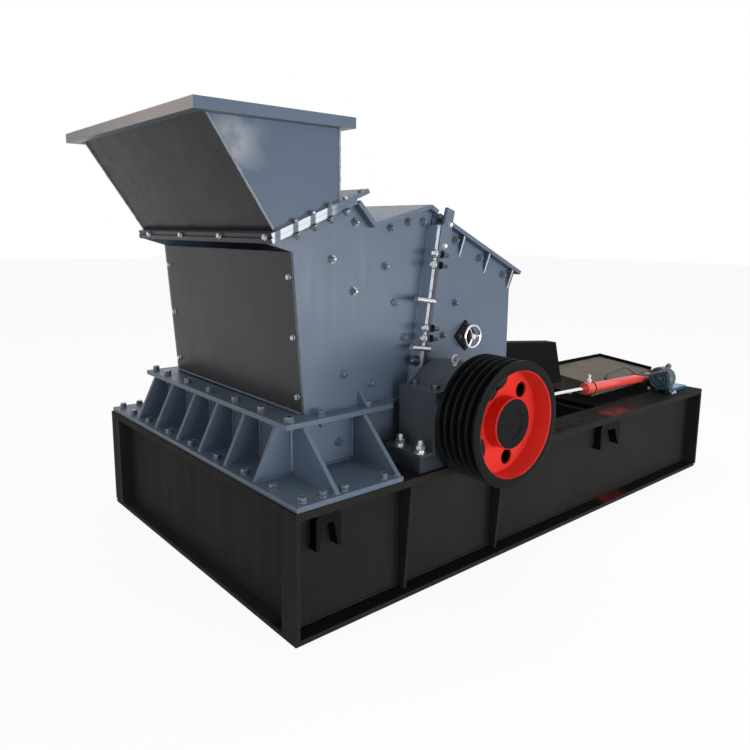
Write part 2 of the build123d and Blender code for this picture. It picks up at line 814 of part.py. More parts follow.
# Casing hinge: arms inside the rear box, forked lugs on the low beam, pins held by the lugs
hinge_lines = (wall_near + hinge_inset, far(wall_near + hinge_inset))


def tapered_eye(x, z, half_root, root, eye, y0, y1):
    # a plate that runs from a wide root, level or sloped, to a round eye
    left, right = root if isinstance(root, tuple) else (root, root)
    side_slab([(x - half_root, left), (x - eye, z), (x + eye, z), (x + half_root, right)], y0, y1)
    cross_rod(x, z, y0, y1, eye)


with BuildPart() as hinge_arms:
    for y in hinge_lines:
        half = hinge_arm_plate / 2
        under = rear_shell_drop + rear_box_plate
        root = (arm_top(hinge_x - hinge_root, under), arm_top(hinge_x + hinge_root, under))
        tapered_eye(hinge_x, hinge_z, hinge_root, root, hinge_eye_radius, y - half, y + half)
        cross_rod(hinge_x, hinge_z, y - half, y + half, hinge_pin_radius + running_gap, Mode.SUBTRACT)
save(hinge_arms, "hinge_arms")

with BuildPart() as hinge_lugs:
    for y in hinge_lines:
        inner = hinge_arm_plate / 2 + hinge_side_gap
        outer = inner + hinge_lug_plate
        for y0, y1 in ((y - outer, y - inner), (y + inner, y + outer)):
            tapered_eye(hinge_x, hinge_z, hinge_root, beam_top, hinge_eye_radius, y0, y1)
        cross_rod(hinge_x, hinge_z, y - outer - 10, y + outer + 10, hinge_pin_radius)
save(hinge_lugs, "hinge_lugs")

# Fork on the rear box for the cylinder rod, with its pin
fork_inner = eye_width / 2 + eye_side_gap
with BuildPart() as rod_fork:
    bridge_z = lug_z + bridge_rise
    for y0 in (cylinder_y - fork_inner - lug_plate, cylinder_y + fork_inner):
        cross_rod(lug_x, lug_z, y0, y0 + lug_plate, lug_radius)
        block(lug_x - lug_radius, lug_x + lug_radius, y0, y0 + lug_plate, lug_z, bridge_z)
    block(lug_x - lug_radius, lug_x + lug_radius, cylinder_y - fork_inner - lug_plate, wall_near, bridge_z, bridge_z + lug_plate)
    cross_rod(lug_x, lug_z, cylinder_y - fork_inner - lug_plate - 8, cylinder_y + fork_inner + lug_plate + 8, pin_radius)
save(rod_fork, "rod_fork")

# Hydraulic cylinder, drawn along the line from its anchor pin to the fork
axis_angle = degrees(atan2(lug_z - anchor_z, anchor_x - lug_x))
axis_length = hypot(anchor_x - lug_x, lug_z - anchor_z)
barrel_end = axis_length - rod_exposed - gland_length


def axis_bar(start, stop, radius, mode=Mode.ADD):
    # a round bar on the cylinder's line, with distances from the anchor pin
    share = (start + stop) / 2 / axis_length
    place = (px(anchor_x + (lug_x - anchor_x) * share), py(cylinder_y), anchor_z + (lug_z - anchor_z) * share)
    with Locations(Location(place, (0, 90 + axis_angle, 0))):
        Cylinder(radius, stop - start, mode=mode)


with BuildPart() as barrel:
    axis_bar(tail_neck, barrel_end, barrel_radius)
    axis_bar(tail_neck + 30, barrel_end, barrel_radius - barrel_wall, Mode.SUBTRACT)
    axis_bar(tail_eye_radius / 2, tail_neck, eye_width / 2)
    cross_rod(anchor_x, anchor_z, cylinder_y - eye_width / 2, cylinder_y + eye_width / 2, tail_eye_radius)
    cross_rod(anchor_x, anchor_z, cylinder_y - eye_width, cylinder_y + eye_width, pin_radius + running_gap, Mode.SUBTRACT)
save(barrel, "barrel")

with BuildPart() as gland:
    axis_bar(barrel_end, barrel_end + gland_length, gland_radius)
    axis_bar(barrel_end, barrel_end + gland_length, rod_radius + running_gap, Mode.SUBTRACT)
save(gland, "gland")

with BuildPart() as rod:
    axis_bar(tail_neck + 200, axis_length - eye_radius + 4, rod_radius)
save(rod, "rod")

with BuildPart() as rod_eye:
    cross_rod(lug_x, lug_z, cylinder_y - eye_width / 2, cylinder_y + eye_width / 2, eye_radius)
    axis_bar(axis_length - 90, axis_length - eye_radius / 2, rod_radius + 7)
    axis_bar(axis_length - 95, axis_length - eye_radius + 4, rod_radius, Mode.SUBTRACT)
    reach = pin_radius + open_pivot_gap
    cross_rod(lug_x, lug_z, cylinder_y - eye_width, cylinder_y + eye_width, reach, Mode.SUBTRACT)
save(rod_eye, "rod_eye")

with BuildPart() as anchor_bracket:
    inner = eye_width / 2 + eye_side_gap
    for y0 in (cylinder_y - inner - anchor_plate, cylinder_y + inner):
        tapered_eye(anchor_x, anchor_z, 45, deck, tail_eye_radius, y0, y0 + anchor_plate)
    cross_rod(anchor_x, anchor_z, cylinder_y - inner - anchor_plate - 6, cylinder_y + inner + anchor_plate + 6, pin_radius)
save(anchor_bracket, "anchor_bracket")

# Hydraulic power pack: tank with a sloped dusty top in a raised rim, motor, fan cover, pump
tank_x0 = skid_length - tank_front_from_end
tank_x1 = skid_length - tank_back_from_end
tank_section = [(tank_near, deck), (tank_near, deck + tank_near_height), (tank_far, deck + tank_far_height), (tank_far, deck)]
with BuildPart() as oil_tank:
    end_slab(tank_section, tank_x0, tank_x1)
    t = tank_plate
    cavity = [(tank_near + t, deck), (tank_near + t, deck + tank_near_height - t)]
    cavity += [(tank_far - t, deck + tank_far_height - t), (tank_far - t, deck)]
    end_slab(cavity, tank_x0 + t, tank_x1 - t, Mode.SUBTRACT)
save(oil_tank, "oil_tank")

with BuildPart() as tank_lip:
    rim = [(tank_near, deck + tank_near_height), (tank_near, deck + tank_near_height + tank_rim)]
    rim += [(tank_far, deck + tank_far_height + tank_rim), (tank_far, deck + tank_far_height)]
    end_slab(rim, tank_x0, tank_x1)
    tray = [(tank_near - 1, deck + tank_near_height - 20), (tank_near - 1, deck + tank_near_height + 2 * tank_rim)]
    tray += [(tank_far - t, deck + tank_far_height + 2 * tank_rim), (tank_far - t, deck + tank_far_height - 20)]
    end_slab(tray, tank_x0 - 1, tank_x1 - t, Mode.SUBTRACT)
save(tank_lip, "tank_lip")

fan_x = skid_length - motor_from_end
motor_x0 = fan_x + fan_cover_length
motor_x1 = motor_x0 + motor_length
pump_x1 = motor_x1 + pump_length
motor_z = deck + motor_rise
with BuildPart() as pump_motor:
    long_rod(motor_x0, motor_x1, motor_y, motor_z, motor_radius)
    with Locations(Location((px((motor_x0 + motor_x1) / 2), py(motor_y), motor_z), (0, 90, 0))):
        with PolarLocations(motor_radius + fin_height / 2 - 1, fin_count):
            Box(fin_plate, fin_height + 2, motor_length - 20, rotation=(0, 0, 90))
    for y in (motor_y - 50, motor_y + 26):
        block(motor_x0 + 8, motor_x1 - 8, y, y + 24, deck, deck + motor_foot_height + 20)
save(pump_motor, "pump_motor")

with BuildPart() as fan_cover:
    long_rod(fan_x, motor_x0, motor_y, motor_z, fan_cover_radius)
    fillet(fan_cover.edges().filter_by(GeomType.CIRCLE).sort_by(Axis.X)[0], radius=fan_cover_round)
save(fan_cover, "fan_cover")

# Pump and its low valve block, behind the motor, with the hose port on top
port_x = motor_x1 + port_radius + 8
port_z = deck + pump_rise + pump_radius + port_height
with BuildPart() as pump_block:
    long_rod(motor_x1, pump_x1, pump_y, deck + pump_rise, pump_radius)
    half = pump_foot_width / 2
    block(motor_x1 + 6, motor_x1 + pump_foot_length, pump_y - half - pump_radius, pump_y + half, deck, deck + pump_foot_height)
    block(motor_x1 + 6, pump_x1 - 6, pump_y - 12, pump_y + 12, deck, deck + pump_rise)
    with Locations((px(port_x), py(pump_y), (deck + pump_rise + port_z) / 2)):
        Cylinder(port_radius, port_z - deck - pump_rise)
save(pump_block, "pump_block")

# Return hose: from the near wall of the tank over the cylinder and the fan cover, down to the pump's port
beside = tank_near - hose_lead
foot = tank_x0 + hose_foot
hose_run = [(foot, tank_near, 48), (foot, beside, 48), (foot + 8, beside, 122)]
hose_run += [(tank_x0 + hose_crest, cylinder_y - 20, 172), (fan_x - hose_dip, cylinder_y - 55, 124)]
hose_run += [(fan_x - hose_turn, motor_y + 20, 118)]
hose_run += [(fan_x - hose_rise, motor_y - 52, 152), (fan_x + 33, motor_y - 48, 166), (port_x - 15, motor_y - 6, 166)]
hose_run += [(port_x, pump_y, 122), (port_x, pump_y, port_z - deck)]
hose_bends = [18, 40, 40, 45, 45, 50, 50, 30, 20]
with BuildPart() as return_hose:
    with BuildLine() as line:
        FilletPolyline([(px(x), py(y), deck + rise) for x, y, rise in hose_run], radius=hose_bends)
    path = line.wire()
    with BuildSketch(Plane(origin=path @ 0, z_dir=path % 0)) as section:
        Circle(hose_radius)
    sweep(sections=section.sketch, path=path)
whole = pi * hose_radius**2 * path.length
print("return hose", round(path.length), "mm, volume against its run", round(return_hose.part.volume / whole, 4))
save(return_hose, "return_hose")
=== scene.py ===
# %% [markdown]
# Sand making machine, dressed for its picture. The steel itself is a finished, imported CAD
# model. This script loads it as a fixed frame and adds what a CAD model leaves out: paint,
# wear, weld beads, bolts, clamps and light. Every piece is placed from the frame's own sizes,
# so that it sits where the steel is.

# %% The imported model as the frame
import json
import random
from math import cos, pi, radians, sin
import bpy
from mathutils import Matrix, Vector


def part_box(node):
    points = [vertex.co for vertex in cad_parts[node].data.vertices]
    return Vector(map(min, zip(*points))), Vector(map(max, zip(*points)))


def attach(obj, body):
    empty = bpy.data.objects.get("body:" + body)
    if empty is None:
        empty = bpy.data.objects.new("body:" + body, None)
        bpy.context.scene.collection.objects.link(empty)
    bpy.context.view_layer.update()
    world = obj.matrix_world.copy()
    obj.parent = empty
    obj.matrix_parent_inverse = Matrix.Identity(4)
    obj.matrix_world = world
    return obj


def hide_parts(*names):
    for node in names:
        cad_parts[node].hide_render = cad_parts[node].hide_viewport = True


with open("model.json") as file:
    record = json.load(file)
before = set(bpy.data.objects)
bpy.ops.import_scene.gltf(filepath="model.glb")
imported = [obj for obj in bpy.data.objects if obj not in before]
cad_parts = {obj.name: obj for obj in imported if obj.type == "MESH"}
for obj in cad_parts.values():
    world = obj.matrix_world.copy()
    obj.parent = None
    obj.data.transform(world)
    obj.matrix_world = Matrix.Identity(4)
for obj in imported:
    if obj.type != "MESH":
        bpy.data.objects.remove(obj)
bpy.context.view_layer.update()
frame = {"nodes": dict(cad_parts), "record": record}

print("steel pieces in the frame:", len(frame["nodes"]))

# %% [markdown]
# Places on this machine are easiest to say as a fitter would: so many millimetres along the
# skid from its feed end, so many across it from its near side, and so high above the ground.
# One small function turns such a place into metres in the frame.

# %% Places on the skid
near_low, near_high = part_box("skid_near_beam")
far_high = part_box("skid_far_beam")[1]
SKID_LENGTH = (near_high.x - near_low.x) * 1000
SKID_WIDTH = (far_high.y - near_low.y) * 1000
SKID_HEIGHT = near_high.z * 1000
MM = 0.001
DECK = 500
MIDDLE_FLANGE = 742
WALL = 300
ROTOR_ALONG, ROTOR_HEIGHT = 905, 701
NEAR, FAR, UP, DOWN, FEED = (0, -1, 0), (0, 1, 0), (0, 0, 1), (0, 0, -1), (-1, 0, 0)


def at(along, across, height):
    return Vector((near_low.x + along * MM, near_low.y + across * MM, height * MM))


def span(node):
    # a node's lowest and highest corner, back in millimetres on the skid
    low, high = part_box(node)
    origin = Vector((near_low.x, near_low.y, 0.0))
    return (low - origin) / MM, (high - origin) / MM


print("skid:", round(SKID_LENGTH), "x", round(SKID_WIDTH), "x", round(SKID_HEIGHT), "mm")

# %% [markdown]
# The camera stands where the photographer stood: near the feed end on the pulley side, with
# the lens at chest height and turned a little down. Its place and lens were worked out from
# the skid's corners in the photograph.

# %% Camera
CAMERA_PLACE = (-1228.7, -1843.0, 1460.7)
CAMERA_YAW = 40.52
CAMERA_PITCH = 9.6
CAMERA_ROLL = 0.54
FOCAL_PIXELS = 686.7
PICTURE_PIXELS = 750
CENTRE_ROW = 344.9


def aim_camera():
    yaw, pitch, roll = radians(CAMERA_YAW), radians(CAMERA_PITCH), radians(CAMERA_ROLL)
    ahead = Vector((sin(yaw) * cos(pitch), cos(yaw) * cos(pitch), -sin(pitch)))
    level_right = Vector((cos(yaw), -sin(yaw), 0.0))
    level_up = level_right.cross(ahead)
    right = level_right * cos(roll) + level_up * sin(roll)
    up = level_up * cos(roll) - level_right * sin(roll)
    turn = Matrix((right, up, -ahead)).transposed().to_4x4()
    data = bpy.data.cameras.new("camera")
    data.sensor_width = 36.0
    data.lens = FOCAL_PIXELS / PICTURE_PIXELS * data.sensor_width
    data.shift_y = (CENTRE_ROW - PICTURE_PIXELS / 2) / PICTURE_PIXELS
    data.clip_end = 60.0
    camera = bpy.data.objects.new("camera", data)
    camera.matrix_world = Matrix.Translation(at(*CAMERA_PLACE)) @ turn
    bpy.context.scene.collection.objects.link(camera)
    bpy.context.scene.camera = camera
    print("camera lens:", round(data.lens, 2), "mm")


aim_camera()

# %% [markdown]
# The light is plain studio light. A large lamp stands on the pulley side, where the photograph
# is bright, a weaker one stands at the feed end, and a broad lamp hangs overhead, which draws
# the thin bright lines along the flange edges. The backdrop is white to the camera only.

# %% Light, floor and backdrop
bpy.context.scene.view_settings.view_transform = "Standard"


def lamp(name, place, target, width, height, watts, colour=(1.0, 1.0, 1.0)):
    data = bpy.data.lights.new(name, "AREA")
    data.shape = "RECTANGLE"
    data.size = width
    data.size_y = height
    data.energy = watts
    data.color = colour
    light = bpy.data.objects.new(name, data)
    direction = Vector(target) - Vector(place)
    light.matrix_world = Matrix.Translation(place) @ direction.to_track_quat("-Z", "Y").to_matrix().to_4x4()
    bpy.context.scene.collection.objects.link(light)


lamp("pulley_side_lamp", (0.4, -7.0, 0.5), (0.0, -0.6, 0.6), 8.0, 2.0, 480)
lamp("feed_end_lamp", (-7.0, -1.5, 1.4), (-1.2, 0.0, 0.5), 3.0, 2.4, 58)
lamp("overhead_lamp", (0.0, 0.3, 6.0), (0.0, 0.0, 0.8), 6.0, 4.0, 130)


def seen_rays(nodes, links, path):
    # 1 for rays that come from the camera or from a mirror-like or clear surface
    total = path.outputs["Is Camera Ray"]
    for ray in ("Is Glossy Ray", "Is Transmission Ray"):
        either = nodes.new("ShaderNodeMath")
        either.operation = "MAXIMUM"
        links.new(total, either.inputs[0])
        links.new(path.outputs[ray], either.inputs[1])
        total = either.outputs[0]
    return total


def make_world():
    world = bpy.data.worlds.new("studio")
    bpy.context.scene.world = world
    world.use_nodes = True
    nodes, links = world.node_tree.nodes, world.node_tree.links
    nodes.clear()
    out = nodes.new("ShaderNodeOutputWorld")
    fill = nodes.new("ShaderNodeBackground")
    fill.inputs["Color"].default_value = (0.86, 0.86, 0.87, 1.0)
    fill.inputs["Strength"].default_value = 0.36
    white = nodes.new("ShaderNodeBackground")
    white.inputs["Color"].default_value = (1.0, 1.0, 1.0, 1.0)
    white.inputs["Strength"].default_value = 1.0
    path = nodes.new("ShaderNodeLightPath")
    mix = nodes.new("ShaderNodeMixShader")
    links.new(seen_rays(nodes, links, path), mix.inputs[0])
    links.new(fill.outputs[0], mix.inputs[1])
    links.new(white.outputs[0], mix.inputs[2])
    links.new(mix.outputs[0], out.inputs["Surface"])


make_world()


def make_floor():
    bpy.ops.object.select_all(action="DESELECT")
    bpy.ops.mesh.primitive_plane_add(size=60.0, location=(0.0, 0.0, 0.0))
    floor = bpy.context.object
    floor.name = "floor"
    material = bpy.data.materials.new("pale_floor")
    material.use_nodes = True
    nodes, links = material.node_tree.nodes, material.node_tree.links
    nodes.clear()
    out = nodes.new("ShaderNodeOutputMaterial")
    ground = nodes.new("ShaderNodeBsdfDiffuse")
    ground.inputs["Color"].default_value = (0.50, 0.50, 0.49, 1.0)
    glow = nodes.new("ShaderNodeEmission")
    glow.inputs["Color"].default_value = (1.0, 1.0, 1.0, 1.0)
    glow.inputs["Strength"].default_value = 1.15
    path = nodes.new("ShaderNodeLightPath")
    share = nodes.new("ShaderNodeMath")
    share.operation = "MULTIPLY"
    share.inputs[1].default_value = 0.80
    mix = nodes.new("ShaderNodeMixShader")
    links.new(seen_rays(nodes, links, path), share.inputs[0])
    links.new(share.outputs[0], mix.inputs[0])
    links.new(ground.outputs[0], mix.inputs[1])
    links.new(glow.outputs[0], mix.inputs[2])
    links.new(mix.outputs[0], out.inputs["Surface"])
    floor.data.materials.append(material)


make_floor()

# %% [markdown]
# Painted steel looks real through small things that repeat on every plate: brushed or sprayed
# paint that is never quite even, edges where the paint thins and that carry a painted glint, and
# dust that settles on what faces up. Each effect is one shader node group with named inputs, built
# once and used in every finish with its own values. The groups give only masks, colours and heights.

# %% Node group helpers
def new_group(name, inputs, outputs):
    group = bpy.data.node_groups.new(name, "ShaderNodeTree")
    for socket, kind, value in inputs:
        made = group.interface.new_socket(name=socket, in_out="INPUT", socket_type="NodeSocket" + kind)
        if value is not None:
            made.default_value = value
    for socket, kind in outputs:
        group.interface.new_socket(name=socket, in_out="OUTPUT", socket_type="NodeSocket" + kind)
    source = group.nodes.new("NodeGroupInput")
    drain = group.nodes.new("NodeGroupOutput")
    return group, source, drain


def maths(tree, operation, first, second=None, clamp=False):
    node = tree.nodes.new("ShaderNodeMath")
    node.operation = operation
    node.use_clamp = clamp
    for index, value in enumerate((first, second)):
        if value is None:
            continue
        if isinstance(value, (int, float)):
            node.inputs[index].default_value = value
        else:
            tree.links.new(value, node.inputs[index])
    return node.outputs[0]


def plus(tree, first, second, clamp=False):
    return maths(tree, "ADD", first, second, clamp)


def minus(tree, first, second, clamp=False):
    return maths(tree, "SUBTRACT", first, second, clamp)


def times(tree, first, second, clamp=False):
    return maths(tree, "MULTIPLY", first, second, clamp)


def noise(tree, vector, scale, detail=4.0, roughness=0.55):
    node = tree.nodes.new("ShaderNodeTexNoise")
    node.inputs["Detail"].default_value = detail
    node.inputs["Roughness"].default_value = roughness
    if isinstance(scale, (int, float)):
        node.inputs["Scale"].default_value = scale
    else:
        tree.links.new(scale, node.inputs["Scale"])
    tree.links.new(vector, node.inputs["Vector"])
    return node.outputs["Fac"]


def ramp(tree, value, low, high):
    node = tree.nodes.new("ShaderNodeMapRange")
    node.inputs["From Min"].default_value = low
    node.inputs["From Max"].default_value = high
    tree.links.new(value, node.inputs["Value"])
    return node.outputs["Result"]


def mix_colour(tree, share, first, second):
    node = tree.nodes.new("ShaderNodeMix")
    node.data_type = "RGBA"
    if isinstance(share, (int, float)):
        node.inputs[0].default_value = share
    else:
        tree.links.new(share, node.inputs[0])
    for index, value in ((6, first), (7, second)):
        if isinstance(value, tuple):
            node.inputs[index].default_value = (*value, 1.0)
        else:
            tree.links.new(value, node.inputs[index])
    return node.outputs[2]


# %% Edge wear and painted glint: where two plates meet at a sharp corner
def make_edge_wear():
    inputs = [("Vector", "Vector", None), ("Width", "Float", 0.003), ("Breakup", "Float", 40.0)]
    group, source, drain = new_group("glinting_edge_wear", inputs, [("Mask", "Float"), ("Rounded", "Vector")])
    bevel = group.nodes.new("ShaderNodeBevel")
    bevel.samples = 4
    group.links.new(source.outputs["Width"], bevel.inputs["Radius"])
    surface = group.nodes.new("ShaderNodeNewGeometry")
    dot = group.nodes.new("ShaderNodeVectorMath")
    dot.operation = "DOT_PRODUCT"
    group.links.new(bevel.outputs[0], dot.inputs[0])
    group.links.new(surface.outputs["Normal"], dot.inputs[1])
    turned = minus(group, 1.0, dot.outputs["Value"], clamp=True)
    edge = ramp(group, turned, 0.02, 0.16)
    speckle = ramp(group, noise(group, source.outputs["Vector"], source.outputs["Breakup"]), 0.38, 0.62)
    group.links.new(times(group, edge, speckle, clamp=True), drain.inputs["Mask"])
    group.links.new(bevel.outputs[0], drain.inputs["Rounded"])
    return group


GLINTING_EDGE_WEAR = make_edge_wear()


# %% Dust: settled on faces that look up, thicker in patches
def make_dust():
    inputs = [("Vector", "Vector", None), ("Amount", "Float", 0.4), ("Patches", "Float", 6.0)]
    group, source, drain = new_group("settled_dust", inputs, [("Mask", "Float")])
    surface = group.nodes.new("ShaderNodeNewGeometry")
    parts = group.nodes.new("ShaderNodeSeparateXYZ")
    group.links.new(surface.outputs["Normal"], parts.inputs[0])
    facing_up = ramp(group, parts.outputs["Z"], 0.45, 0.95)
    clouds = noise(group, source.outputs["Vector"], source.outputs["Patches"], 6.0, 0.62)
    patches = ramp(group, clouds, 0.36, 0.68)
    layer = times(group, facing_up, patches)
    group.links.new(times(group, layer, source.outputs["Amount"], clamp=True), drain.inputs["Mask"])
    return group


DUST = make_dust()


# %% Paint film: slow colour drift, brush waviness and a fine orange peel
def make_paint_film():
    inputs = [("Vector", "Vector", None), ("Drift", "Float", 2.2), ("Peel", "Float", 260.0)]
    outputs = [("Shade", "Float"), ("Height", "Float"), ("Smear", "Float")]
    group, source, drain = new_group("paint_film", inputs, outputs)
    vector = source.outputs["Vector"]
    drift = noise(group, vector, source.outputs["Drift"], 5.0, 0.6)
    peel = noise(group, vector, source.outputs["Peel"], 2.0, 0.5)
    stretch = group.nodes.new("ShaderNodeMapping")
    stretch.inputs["Scale"].default_value = (14.0, 14.0, 1.6)
    group.links.new(vector, stretch.inputs["Vector"])
    runs = noise(group, stretch.outputs[0], 1.6, 5.0, 0.65)
    waves = noise(group, vector, 3.2, 1.0, 0.4)
    height = plus(group, times(group, waves, 6.0), times(group, peel, 0.10))
    group.links.new(ramp(group, drift, 0.30, 0.72), drain.inputs["Shade"])
    group.links.new(height, drain.inputs["Height"])
    group.links.new(ramp(group, runs, 0.42, 0.75), drain.inputs["Smear"])
    return group


PAINT_FILM = make_paint_film()


# %% [markdown]
# A finish is one material: a Principled shader whose colour, roughness and normal come from
# the groups above. Colour, roughness range, gloss and dust differ from finish to finish, so a
# small function builds them all from a few plain values.

# %% Painted finishes
def use_group(tree, group, vector, values):
    node = tree.nodes.new("ShaderNodeGroup")
    node.node_tree = group
    tree.links.new(vector, node.inputs["Vector"])
    for socket, value in values.items():
        node.inputs[socket].default_value = value
    return node


def start_material(name):
    material = bpy.data.materials.new(name)
    material.use_nodes = True
    tree = material.node_tree
    tree.nodes.clear()
    out = tree.nodes.new("ShaderNodeOutputMaterial")
    shader = tree.nodes.new("ShaderNodeBsdfPrincipled")
    tree.links.new(shader.outputs[0], out.inputs["Surface"])
    place = tree.nodes.new("ShaderNodeTexCoord").outputs["Object"]
    return material, tree, shader, place


def paint(name, colour, deep, gloss=(0.22, 0.42), coat=0.0, dust=0.3, dust_colour=(0.30, 0.27, 0.23),
          worn_and_glint_colour=(0.30, 0.31, 0.33), wear_and_glint_share=0.35, edge=0.004, waviness=0.5, metal=0.0, level=0.5, over=None):
    # colour is the clean paint, deep its darker drift, the edge colour what shows at the edges as wear
    # and as a painted glint, and over a function that lays one more mark on top
    material, tree, shader, place = start_material(name)
    film = use_group(tree, PAINT_FILM, place, {})
    edge_wear_and_glint = use_group(tree, GLINTING_EDGE_WEAR, place, {"Width": edge})
    dusting = use_group(tree, DUST, place, {"Amount": dust})
    base = mix_colour(tree, film.outputs["Shade"], deep, colour)
    smeared = mix_colour(tree, times(tree, film.outputs["Smear"], dust * 0.35), base, dust_colour)
    edged = mix_colour(tree, times(tree, edge_wear_and_glint.outputs["Mask"], wear_and_glint_share), smeared, worn_and_glint_colour)
    dusted = mix_colour(tree, dusting.outputs["Mask"], edged, dust_colour)
    if over:
        dusted = over(tree, place, dusted)
    tree.links.new(dusted, shader.inputs["Base Color"])
    rough = tree.nodes.new("ShaderNodeMapRange")
    rough.inputs["To Min"].default_value = gloss[0]
    rough.inputs["To Max"].default_value = gloss[1]
    tree.links.new(film.outputs["Smear"], rough.inputs["Value"])
    dull = times(tree, dusting.outputs["Mask"], 0.5)
    tree.links.new(plus(tree, rough.outputs["Result"], dull, clamp=True), shader.inputs["Roughness"])
    shader.inputs["Metallic"].default_value = metal
    shader.inputs["Specular IOR Level"].default_value = level
    shader.inputs["Coat Weight"].default_value = coat
    shader.inputs["Coat Roughness"].default_value = gloss[0] * 0.6
    bump = tree.nodes.new("ShaderNodeBump")
    bump.inputs["Strength"].default_value = waviness
    bump.inputs["Distance"].default_value = 0.002
    tree.links.new(film.outputs["Height"], bump.inputs["Height"])
    tree.links.new(edge_wear_and_glint.outputs["Rounded"], bump.inputs["Normal"])
    tree.links.new(bump.outputs[0], shader.inputs["Normal"])
    if coat:
        tree.links.new(bump.outputs[0], shader.inputs["Coat Normal"])
    return material


# %% [markdown]
# Some plates carry a mark of their own. Faces turned to the feed end get painted shade high up,
# plate edges by the pulley side get a painted highlight between the bolts, the hinged flange's
# edge and the skid's top get painted shade, and the hopper has a pale patch. Each mark is a small
# function that mixes one more colour over the paint, where the face's direction and place say so.

# %% Marks over the paint
def parts_of(tree, vector):
    node = tree.nodes.new("ShaderNodeSeparateXYZ")
    tree.links.new(vector, node.inputs[0])
    return node.outputs


def facing(tree, axis, low, high, both=False):
    # 1 on faces turned along the axis, 0 on the others; both takes either direction
    direction = parts_of(tree, tree.nodes.new("ShaderNodeNewGeometry").outputs["Normal"])[axis[-1]]
    if both:
        direction = maths(tree, "ABSOLUTE", direction)
    elif axis[0] == "-":
        direction = times(tree, direction, -1.0)
    return ramp(tree, direction, low, high)


def both_of(tree, first, second):
    # the place that two masks share
    return times(tree, first, second, clamp=True)


def feed_side_painted_shade(tree, place, below):
    # painted shade: faces turned to the feed end, above about 0.8 m, are darkened nearly to black
    high = ramp(tree, parts_of(tree, place)["Z"], 0.76, 0.80)
    return mix_colour(tree, both_of(tree, facing(tree, "-X", 0.3, 0.8), high), below, (0.013, 0.012, 0.014))


def rim_film(tree, place, below):
    reach = ramp(tree, parts_of(tree, place)["Y"], 0.75, -0.3)
    pale = mix_colour(tree, reach, (0.16, 0.15, 0.16), (0.48, 0.41, 0.38))
    return mix_colour(tree, facing(tree, "-X", 0.6, 0.9), below, pale)


def hopper_shade_and_patch(tree, place, below):
    # painted shade on the feed-facing faces, and a pale patch high on the sides near the feed end
    shaded = feed_side_painted_shade(tree, place, below)
    spread = noise(tree, place, 7.0, 4.0, 0.6)
    spot = at(-45, 280, 1745)
    away = tree.nodes.new("ShaderNodeVectorMath")
    away.operation = "DISTANCE"
    tree.links.new(place, away.inputs[0])
    away.inputs[1].default_value = spot
    near = ramp(tree, plus(tree, away.outputs["Value"], times(tree, spread, 0.22)), 0.24, 0.16)
    on_side = both_of(tree, near, facing(tree, "Y", 0.8, 0.95, both=True))
    patch = both_of(tree, on_side, ramp(tree, spread, 0.30, 0.6))
    return mix_colour(tree, times(tree, patch, 0.75), shaded, (0.42, 0.44, 0.47))


def painted_shade_edges(tree, place, below):
    # painted shade: the hinged flange's edge is darkened below its strap
    low = ramp(tree, parts_of(tree, place)["Z"], 1.36, 1.32)
    mask = both_of(tree, facing(tree, "Y", 0.8, 0.95, both=True), low)
    return mix_colour(tree, times(tree, mask, 0.9), below, (0.050, 0.056, 0.068))


def painted_highlight_edges(tree, place, below):
    # painted highlight: faces turned across the machine get a broken pale colour, standing in for lit edges
    highlight_breakup = ramp(tree, noise(tree, place, 26.0, 3.0, 0.6), 0.30, 0.45)
    mask = both_of(tree, facing(tree, "Y", 0.8, 0.95, both=True), highlight_breakup)
    return mix_colour(tree, times(tree, mask, 0.85), below, (0.62, 0.66, 0.70))


def seam_highlights(tree, place, below):
    # painted highlight on the edge, and painted light on the face beside it, which faces the feed end
    lit = times(tree, facing(tree, "-X", 0.6, 0.9), 0.9)
    pale = mix_colour(tree, lit, below, (0.21, 0.27, 0.35))
    return painted_highlight_edges(tree, place, pale)


DASH_START, DASH_PITCH, DASH_END = 113, 77, 385


def dashed_highlights(tree, place, below):
    # painted highlight in dashes between the bolts, over painted shade on the feed-facing faces
    along = minus(tree, parts_of(tree, place)["X"], at(DASH_START, 0, 0).x)
    turn = maths(tree, "FRACT", maths(tree, "DIVIDE", along, DASH_PITCH * MM))
    middle = maths(tree, "ABSOLUTE", minus(tree, turn, 0.5))
    dash = ramp(tree, middle, 0.38, 0.32)
    reach = ramp(tree, along, (DASH_END - DASH_START) * MM, (DASH_END - DASH_START - 60) * MM)
    mask = both_of(tree, both_of(tree, dash, reach), facing(tree, "Y", 0.8, 0.95, both=True))
    shaded = feed_side_painted_shade(tree, place, below)
    return mix_colour(tree, times(tree, mask, 0.9), shaded, (0.80, 0.84, 0.88))


def skid_shade_and_smear(tree, place, below):
    # painted shade makes the flange blacker on top, and there is a smear of red cylinder paint
    top_shaded = mix_colour(tree, facing(tree, "Z", 0.8, 0.95), below, (0.0085, 0.0080, 0.0076))
    reach = parts_of(tree, place)
    left, right = at(1975, 0, 0).x, at(2240, 0, 0).x
    past_left = ramp(tree, reach["X"], left, left + 0.06)
    before_right = ramp(tree, reach["X"], right, right - 0.09)
    along = both_of(tree, past_left, before_right)
    near = ramp(tree, reach["Y"], near_low.y + 0.12, near_low.y + 0.07)
    mask = both_of(tree, both_of(tree, along, near), facing(tree, "Z", 0.8, 0.95))
    patchy = both_of(tree, mask, ramp(tree, noise(tree, place, 22.0, 4.0, 0.6), 0.30, 0.60))
    return mix_colour(tree, times(tree, patchy, 0.8), top_shaded, (0.26, 0.035, 0.032))


# %% [markdown]
# Two paints cover most of the machine: blue-grey on the housings and flat black on the skid.
# Each is a short function, so that a plate with a mark of its own gets the same paint under it.

